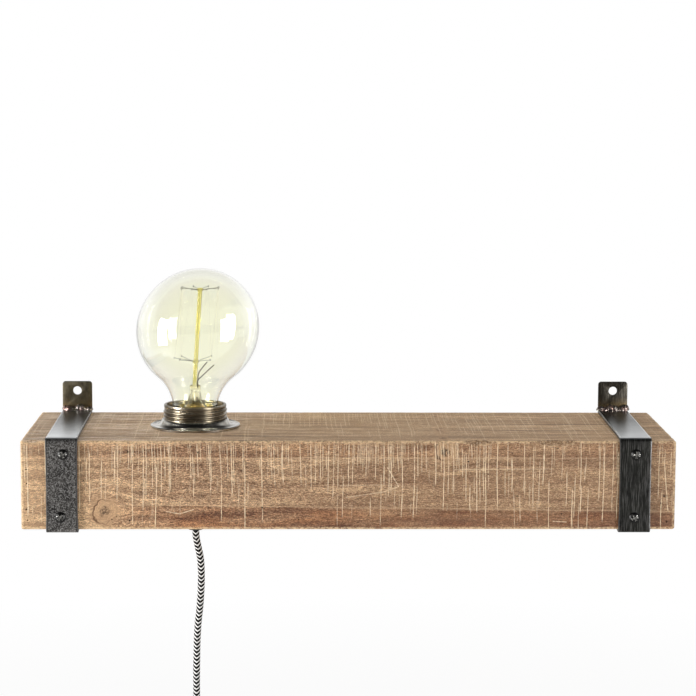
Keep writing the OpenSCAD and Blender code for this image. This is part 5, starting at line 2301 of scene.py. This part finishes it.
    def stars(self) -> Piece:
        """Returns both stars: fine arms, each curled up at its end round the filament."""
        top, low = self.hooks()
        arms = []
        for hub, ends in ((self.upper_hub, top), (self.lower_hub, low[:-1])):
            middle = Vector(LAMP) + Vector(hub)
            for i, end in enumerate(ends):
                way = (end - middle).normalized()
                up = Vector((0, 0, 1))
                line = [middle + way * self.hub_r * 0.9]
                sag = 0.35 * MM * math.sin(2.1 * i + hub[2] * 900)
                line.append(middle.lerp(end, 0.55) + up * sag)
                line.append(end - way * 0.6 * MM)
                for k in range(7):
                    a = math.tau * 0.8 * k / 6
                    line.append(end + 0.55 * MM * (way * -math.cos(a) + up * math.sin(a)))
                arms.append(rod("arm", through(line, 0.4 * MM), 0.16 * MM, 8))
        piece = joined("support_wires", arms)
        return fit_to(piece, "bulb", "fine_wire", "support_wires", finish=DARK_WIRE, crease=60)

    def leads(self) -> Piece:
        """Returns the two lead wires, bent up from the pinch to the filament's ends."""
        routes = [
            [(1.6, 0.6, 26), (1.7, 1.2, 30), (2.3, 2, 34.6), (4.7, 4.2, 38.2), (7.6, 7.0, 41.4)],
            [(1.4, -0.6, 26), (1.5, -1, 28.4), (1.9, -1.4, 30.6), (6.6, -1.6, 35.2), (12.5, -0.6, 40.6)],
        ]
        wires = []
        for route in routes:
            line = through([Vector(LAMP) + Vector(p) * MM for p in route], 1 * MM)
            wires.append(rod("lead", line, 0.33 * MM, 10))
        piece = joined("lead_wires", wires)
        return fit_to(piece, "bulb", "fine_wire", "lead_wires", finish=DARK_WIRE, crease=60)

    def filament(self) -> Piece:
        """Returns the filament, one thread strung up and down between the stars."""
        top, low = self.hooks()
        up = Vector((0, 0, 0.25 * MM))
        line = [p for a, b in zip(top, low) for p in (a + up, b - up)]
        piece = rod("filament", line, 0.035 * MM, 6)
        return fit_to(piece, "bulb", "carbon_filament", "filament", finish=CARBON, crease=60)

    def build(self) -> None:
        """Builds every piece that the eye can reach."""
        self.globe()
        self.cap()
        self.stem()
        self.stars()
        self.leads()
        self.filament()


# ---- what is on the cord ----


@dataclass
class InlineSwitch:
    """The rocker switch in the cord: two clamshell halves, a collar at each end, and its rocker.

    Attributes:
        width: Its width.
        length: Length of its body, without the collars.
        half: Half its depth.
        wall: Thickness of its walls.
        corner: Radius of its corners.
        collar: Radius and length of a collar.
        rocker: Width and length of the rocker.
        swing: How far the rocker stands from its middle place, in degrees.
    """

    width: float = 24 * MM
    length: float = 54 * MM
    half: float = 8.5 * MM
    wall: float = 1.8 * MM
    corner: float = 9 * MM
    collar: tuple[float, float] = (4.6 * MM, 4 * MM)
    rocker: tuple[float, float] = (11 * MM, 17 * MM)
    swing: float = 10

    @property
    def pivot(self) -> Vector:
        """Returns the middle of the rocker's pin."""
        return Vector(SWITCH_AT) + Vector((0, 4 * MM - self.half, 0))

    def shell(self, name: str, front: bool) -> Piece:
        """Makes one half of the case.

        Args:
            name: What it is called.
            front: Whether it is the half towards the eye.

        Returns:
            The half, hollow, with half of each collar.
        """
        x, y, z = SWITCH_AT
        outward = -1 if front else 1
        face = y + outward * self.half
        low, high = sorted((face, y))
        wide, tall = self.width / 2, self.length / 2
        piece = block(name, (x - wide, low, z - tall), (x + wide, high, z + tall))
        with edit_mode(piece, "EDGE"):
            pick_edges(piece, runs_along(1))
            bpy.ops.mesh.bevel(offset=self.corner, segments=12)
            pick_edges(piece, lambda middle, way: abs(middle.y - face) < HAIR)
            bpy.ops.mesh.bevel(offset=2.4 * MM, segments=6, clamp_overlap=True)
        with edit_mode(piece, "FACE"):
            pick_faces(piece, (0, -outward, 0))
            bpy.ops.mesh.inset(thickness=self.wall)
            extrude((0, outward * (self.half - self.wall), 0))
        tidy_mesh(piece)
        radius, reach = self.collar
        for side in (-1, 1):
            end = z + side * (tall + reach)
            start = z + side * (tall - 2.2 * MM)
            neck = drum((x, y, start), (x, y, end), radius, 48)
            soften(neck, 0.8 * MM, 4)
            shave(neck, (x, y, z), (0, -outward, 0))
            fuse(piece, neck)
        cut(piece, drum((x, y, z - self.length), (x, y, z + self.length), CORD_HOLE, 32))
        return piece

    def case(self) -> list[Piece]:
        """Returns the two halves, the front one opened for the rocker and with a raised rim round it."""
        x, y, z = SWITCH_AT
        wide, tall = self.rocker
        cover, base = self.shell("switch_cover", True), self.shell("switch_base", False)
        front, back = y - self.half, y + self.half
        made = []
        for name, beside, above, near, far in (
            ("rim", 1.7 * MM, 2.5 * MM, front, front + 2.2 * MM),
            ("opening", 0.5 * MM, 1.3 * MM, front - 1 * MM, front + 4 * MM),
        ):
            low = (x - wide / 2 - beside, near, z - tall / 2 - above)
            made.append(block(name, low, (x + wide / 2 + beside, far, z + tall / 2 + above)))
        fuse(cover, made[0])
        cut(cover, made[1])
        for dx, dz in ((-7.5, 17), (7.5, -17)):
            left, height = x + dx * MM, z + dz * MM
            cut(base, drum((left, back - 2 * MM, height), (left, back + 2 * MM, height), 2.4 * MM, 32))
        for piece, node in ((cover, "switch_cover"), (base, "switch_base")):
            soften(piece, 0.22 * MM, 2, 50)
            fit_to(piece, "shelf", "black_plastic", node, finish=BLACK_PLASTIC)
        return [cover, base]

    def button(self) -> Piece:
        """Returns the rocker: a hollow-faced button with three grip ridges, tipped to off."""
        wide, tall = self.rocker
        up = 7.2 * MM
        piece = block("switch_rocker", (-wide / 2, -up, -tall / 2), (wide / 2, -1.8 * MM, tall / 2))
        cut(piece, drum((-wide, -up - 21.6 * MM, 0), (wide, -up - 21.6 * MM, 0), 23 * MM, 160))
        for k in (-1, 0, 1):
            y, z = -up + 1.35 * MM, k * 1.9 * MM
            fuse(piece, drum((-3.4 * MM, y, z), (3.4 * MM, y, z), 0.35 * MM, 16))
        low = (-wide / 2 + 2 * MM, -3 * MM, -3.5 * MM)
        root = block("rocker_root", low, (wide / 2 - 2 * MM, 1.5 * MM, 3.5 * MM))
        fuse(piece, root, drum((-8 * MM, 0, 0), (8 * MM, 0, 0), 1.2 * MM, 24))
        soften(piece, 0.3 * MM, 3, 50)
        tipped = Matrix.Rotation(math.radians(self.swing), 4, "X")
        placed(piece, Matrix.Translation(self.pivot) @ tipped)
        return fit_to(piece, "rocker", "black_plastic", "switch_rocker", finish=BLACK_PLASTIC)

    def build(self) -> list[Piece]:
        """Returns its three pieces."""
        return [*self.case(), self.button()]


@dataclass
class CoilTie:
    """The rubber band that holds the coil together at its top.

    Attributes:
        middle: Middle of the coil, and how far the band lies beside it.
        width: Width of the band.
        reach: Inner and outer edge of its hole, from the coil's centre.
        deep: Depth of its hole.
        wall: Its thickness.
    """

    middle: Point = (LAMP_X - 12 * MM, LAMP_Y, EXIT[2] - 238 * MM)
    width: float = 11 * MM
    reach: tuple[float, float] = (16.75 * MM, 34.4 * MM)
    deep: float = 21.2 * MM
    wall: float = 1.2 * MM

    def build(self) -> Piece:
        """Returns the band, a rounded box opened through, with a moulded bead along both rims."""
        x, y, z = self.middle
        low, high = (z + r for r in self.reach)
        half = self.deep / 2 + self.wall
        corner = (x - self.width / 2, y - half, low - self.wall)
        piece = block("coil_tie", corner, (x + self.width / 2, y + half, high + self.wall))
        hole = block(
            "hole", (x - self.width, y - self.deep / 2, low), (x + self.width, y + self.deep / 2, high)
        )
        for made, radius in ((piece, 2.4 * MM), (hole, 1.2 * MM)):
            with edit_mode(made, "EDGE"):
                pick_edges(made, runs_along(0))
                bpy.ops.mesh.bevel(offset=radius, segments=8)
        with edit_mode(piece, "EDGE"):
            pick_edges(piece, runs_along(0))
            bpy.ops.mesh.subdivide(number_cuts=9)
        cut(piece, hole)
        points = points_of(piece)
        centre = np.array([x, y, (low + high) / 2])
        off = np.abs(points[:, 0] - x) / (self.width / 2)
        outside = (np.abs(points[:, 1] - y) > self.deep / 2 + 0.6 * MM) | (
            np.abs(points[:, 2] - centre[2]) > (high - low) / 2 + 0.6 * MM
        )
        groove = np.where(outside & (off < 0.7), 0.985, 1)
        points[:, 1:] = centre[1:] + (points[:, 1:] - centre[1:]) * groove[:, None]
        place_points(piece, points)
        soften(piece, 0.25 * MM, 2, 50)
        return fit_to(piece, "shelf", "black_band", "coil_tie", finish=RUBBER)


@dataclass
class Plug:
    """The flat two-pin plug, with its ribbed relief, its grip and its sleeved pins.

    Attributes:
        relief: Length of the strain relief.
        size: Width, depth and length of the body.
        corner: Radius of the body's corners.
        gap: Distance between the pins.
        pin: Radius and length of a pin.
        sleeve: Length of a pin's sleeve.
    """

    relief: float = 22 * MM
    size: Point = (26 * MM, 13.6 * MM, 34 * MM)
    corner: float = 5 * MM
    gap: float = 18.6 * MM
    pin: tuple[float, float] = (2 * MM, 19 * MM)
    sleeve: float = 10 * MM

    def body(self) -> Piece:
        """Returns the body with finger grooves on both broad faces, and the relief above it."""
        x, y, z = PLUG_AT
        wide, deep, tall = self.size
        top = z - self.relief
        low = (x - wide / 2, y - deep / 2, top - tall)
        piece = block("plug_body", low, (x + wide / 2, y + deep / 2, top))
        with edit_mode(piece, "EDGE"):
            pick_edges(piece, runs_along(2))
            bpy.ops.mesh.bevel(offset=self.corner, segments=10)
            pick_edges(piece, lambda middle, way: abs(middle.z - top) < HAIR)
            bpy.ops.mesh.bevel(offset=3.4 * MM, segments=8)
            pick_edges(piece, lambda middle, way: abs(middle.z - top + tall) < HAIR)
            bpy.ops.mesh.bevel(offset=0.7 * MM, segments=3)
        for side in (-1, 1):
            for k in range(5):
                at = top - (7 + 3.6 * k) * MM
                grooved = y + side * (deep / 2 + 0.35 * MM)
                cut(piece, drum((x - 6.5 * MM, grooved, at), (x + 6.5 * MM, grooved, at), 0.95 * MM, 24))
        rows: list[tuple[float, float]] = [(2.5 * MM, 0), (3.25 * MM, 0), (3.6 * MM, -0.5 * MM)]
        for k in range(6):
            r = (3.7 + 0.34 * k) * MM
            start = (1.2 + 3.3 * k) * MM
            rows += [
                (r, -start), (r + 0.05 * MM, -start - 1.9 * MM),
                (r - 0.75 * MM, -start - 2.2 * MM), (r - 0.7 * MM, -start - 3.0 * MM),
            ]
        rows += [(5.75 * MM, -21.3 * MM), (5.8 * MM, -24 * MM), (2.5 * MM, -24 * MM), (2.5 * MM, 0)]
        fuse(piece, lathe("relief", rows, PLUG_AT, 48))
        cut(piece, drum((x, y, z + 5 * MM), (x, y, z - 9 * MM), CORD_HOLE, 32))
        for side in (-1, 1):
            at = x + side * self.gap / 2
            cut(piece, drum((at, y, top - tall - 3 * MM), (at, y, top - tall + 12 * MM), 2.05 * MM, 32))
        soften(piece, 0.2 * MM, 2, 50)
        return fit_to(piece, "shelf", "black_plastic", "plug_body", finish=BLACK_PLASTIC)

    def pins(self) -> list[Piece]:
        """Returns the two pins and their two sleeves, each turned once and copied across."""
        radius, length = self.pin[0] / MM, self.pin[1] / MM
        sleeve = self.sleeve / MM
        thin = radius - 0.4
        pin_rows = [
            (0.05, 0), (0.7, 0.05), (1.2, 0.25), (1.65, 0.75), (1.9, 1.2), (1.98, 1.6), (radius, 2.2),
            (radius, length - sleeve), (thin, length - sleeve), (thin, length + 11), (0.05, length + 11),
        ]
        sleeve_rows = [
            (radius - 0.35, length - sleeve), (radius - 0.06, length - sleeve),
            (radius, length - sleeve + 0.12), (radius, length + 2), (radius - 0.35, length + 2),
            (radius - 0.35, length - sleeve),
        ]
        x, y, z = PLUG_AT
        foot = (x - self.gap / 2, y, z - self.relief - self.size[2] - self.pin[1])
        made = []
        for name, node, rows, finish, slot in (
            ("plug_pin", "plug_pins", pin_rows, PIN_METAL, "pin_metal"),
            ("pin_sleeve", "pin_sleeves", sleeve_rows, BLACK_PLASTIC, "black_plastic"),
        ):
            first = lathe(f"{name}_1", in_metres(rows), foot, 40)
            second = placed(twin(first, f"{name}_2"), Matrix.Translation((self.gap, 0, 0)))
            for piece in (first, second):
                made.append(fit_to(piece, "shelf", slot, node, finish=finish, crease=35))
        return made

    def build(self) -> list[Piece]:
        """Returns the body, the pins and their sleeves."""
        return [self.body(), *self.pins()]


# Finishes of the CAD nodes that stay as they are, most of them out of sight
KEPT_NODES: Mapping[str, Finish] = {
    "holder_cap": SLEEVE_NICKEL,
    "ceramic_insert": PORCELAIN,
    "centre_contact": BRASS,
    "terminal_screws": BRASS,
    "threaded_nipple": ZINC,
    "nipple_washer": ZINC,
    "lock_nut": BRASS,
    "grip_screw": BLACK_SCREW,
    "bulb_cement": CEMENT,
    "bulb_insulator": BLACK_GLASS,
    "bulb_contact": SOLDER,
    "switch_screws": ZINC,
    "switch_contacts": BRASS,
}


def main() -> None:
    logging.basicConfig(level=logging.INFO, format="%(name)s: %(message)s")
    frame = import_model()
    Studio().build()
    cord = Cord()
    braid = cord.build()
    Timber().build()
    Strapping("left", -1, STRAP_LEFT_LIT, TAB_LEFT_LIT).build()
    Strapping("right", 1, STRAP_RIGHT_SHADED, TAB_RIGHT_SHADED).build()
    Lampholder().build()
    Bulb().build()
    on_cord = [*InlineSwitch().build(), CoilTie().build(), *Plug().build()]
    for name, finish in KEPT_NODES.items():
        finish.on(frame["nodes"][name])


if __name__ == "__main__":
    main()
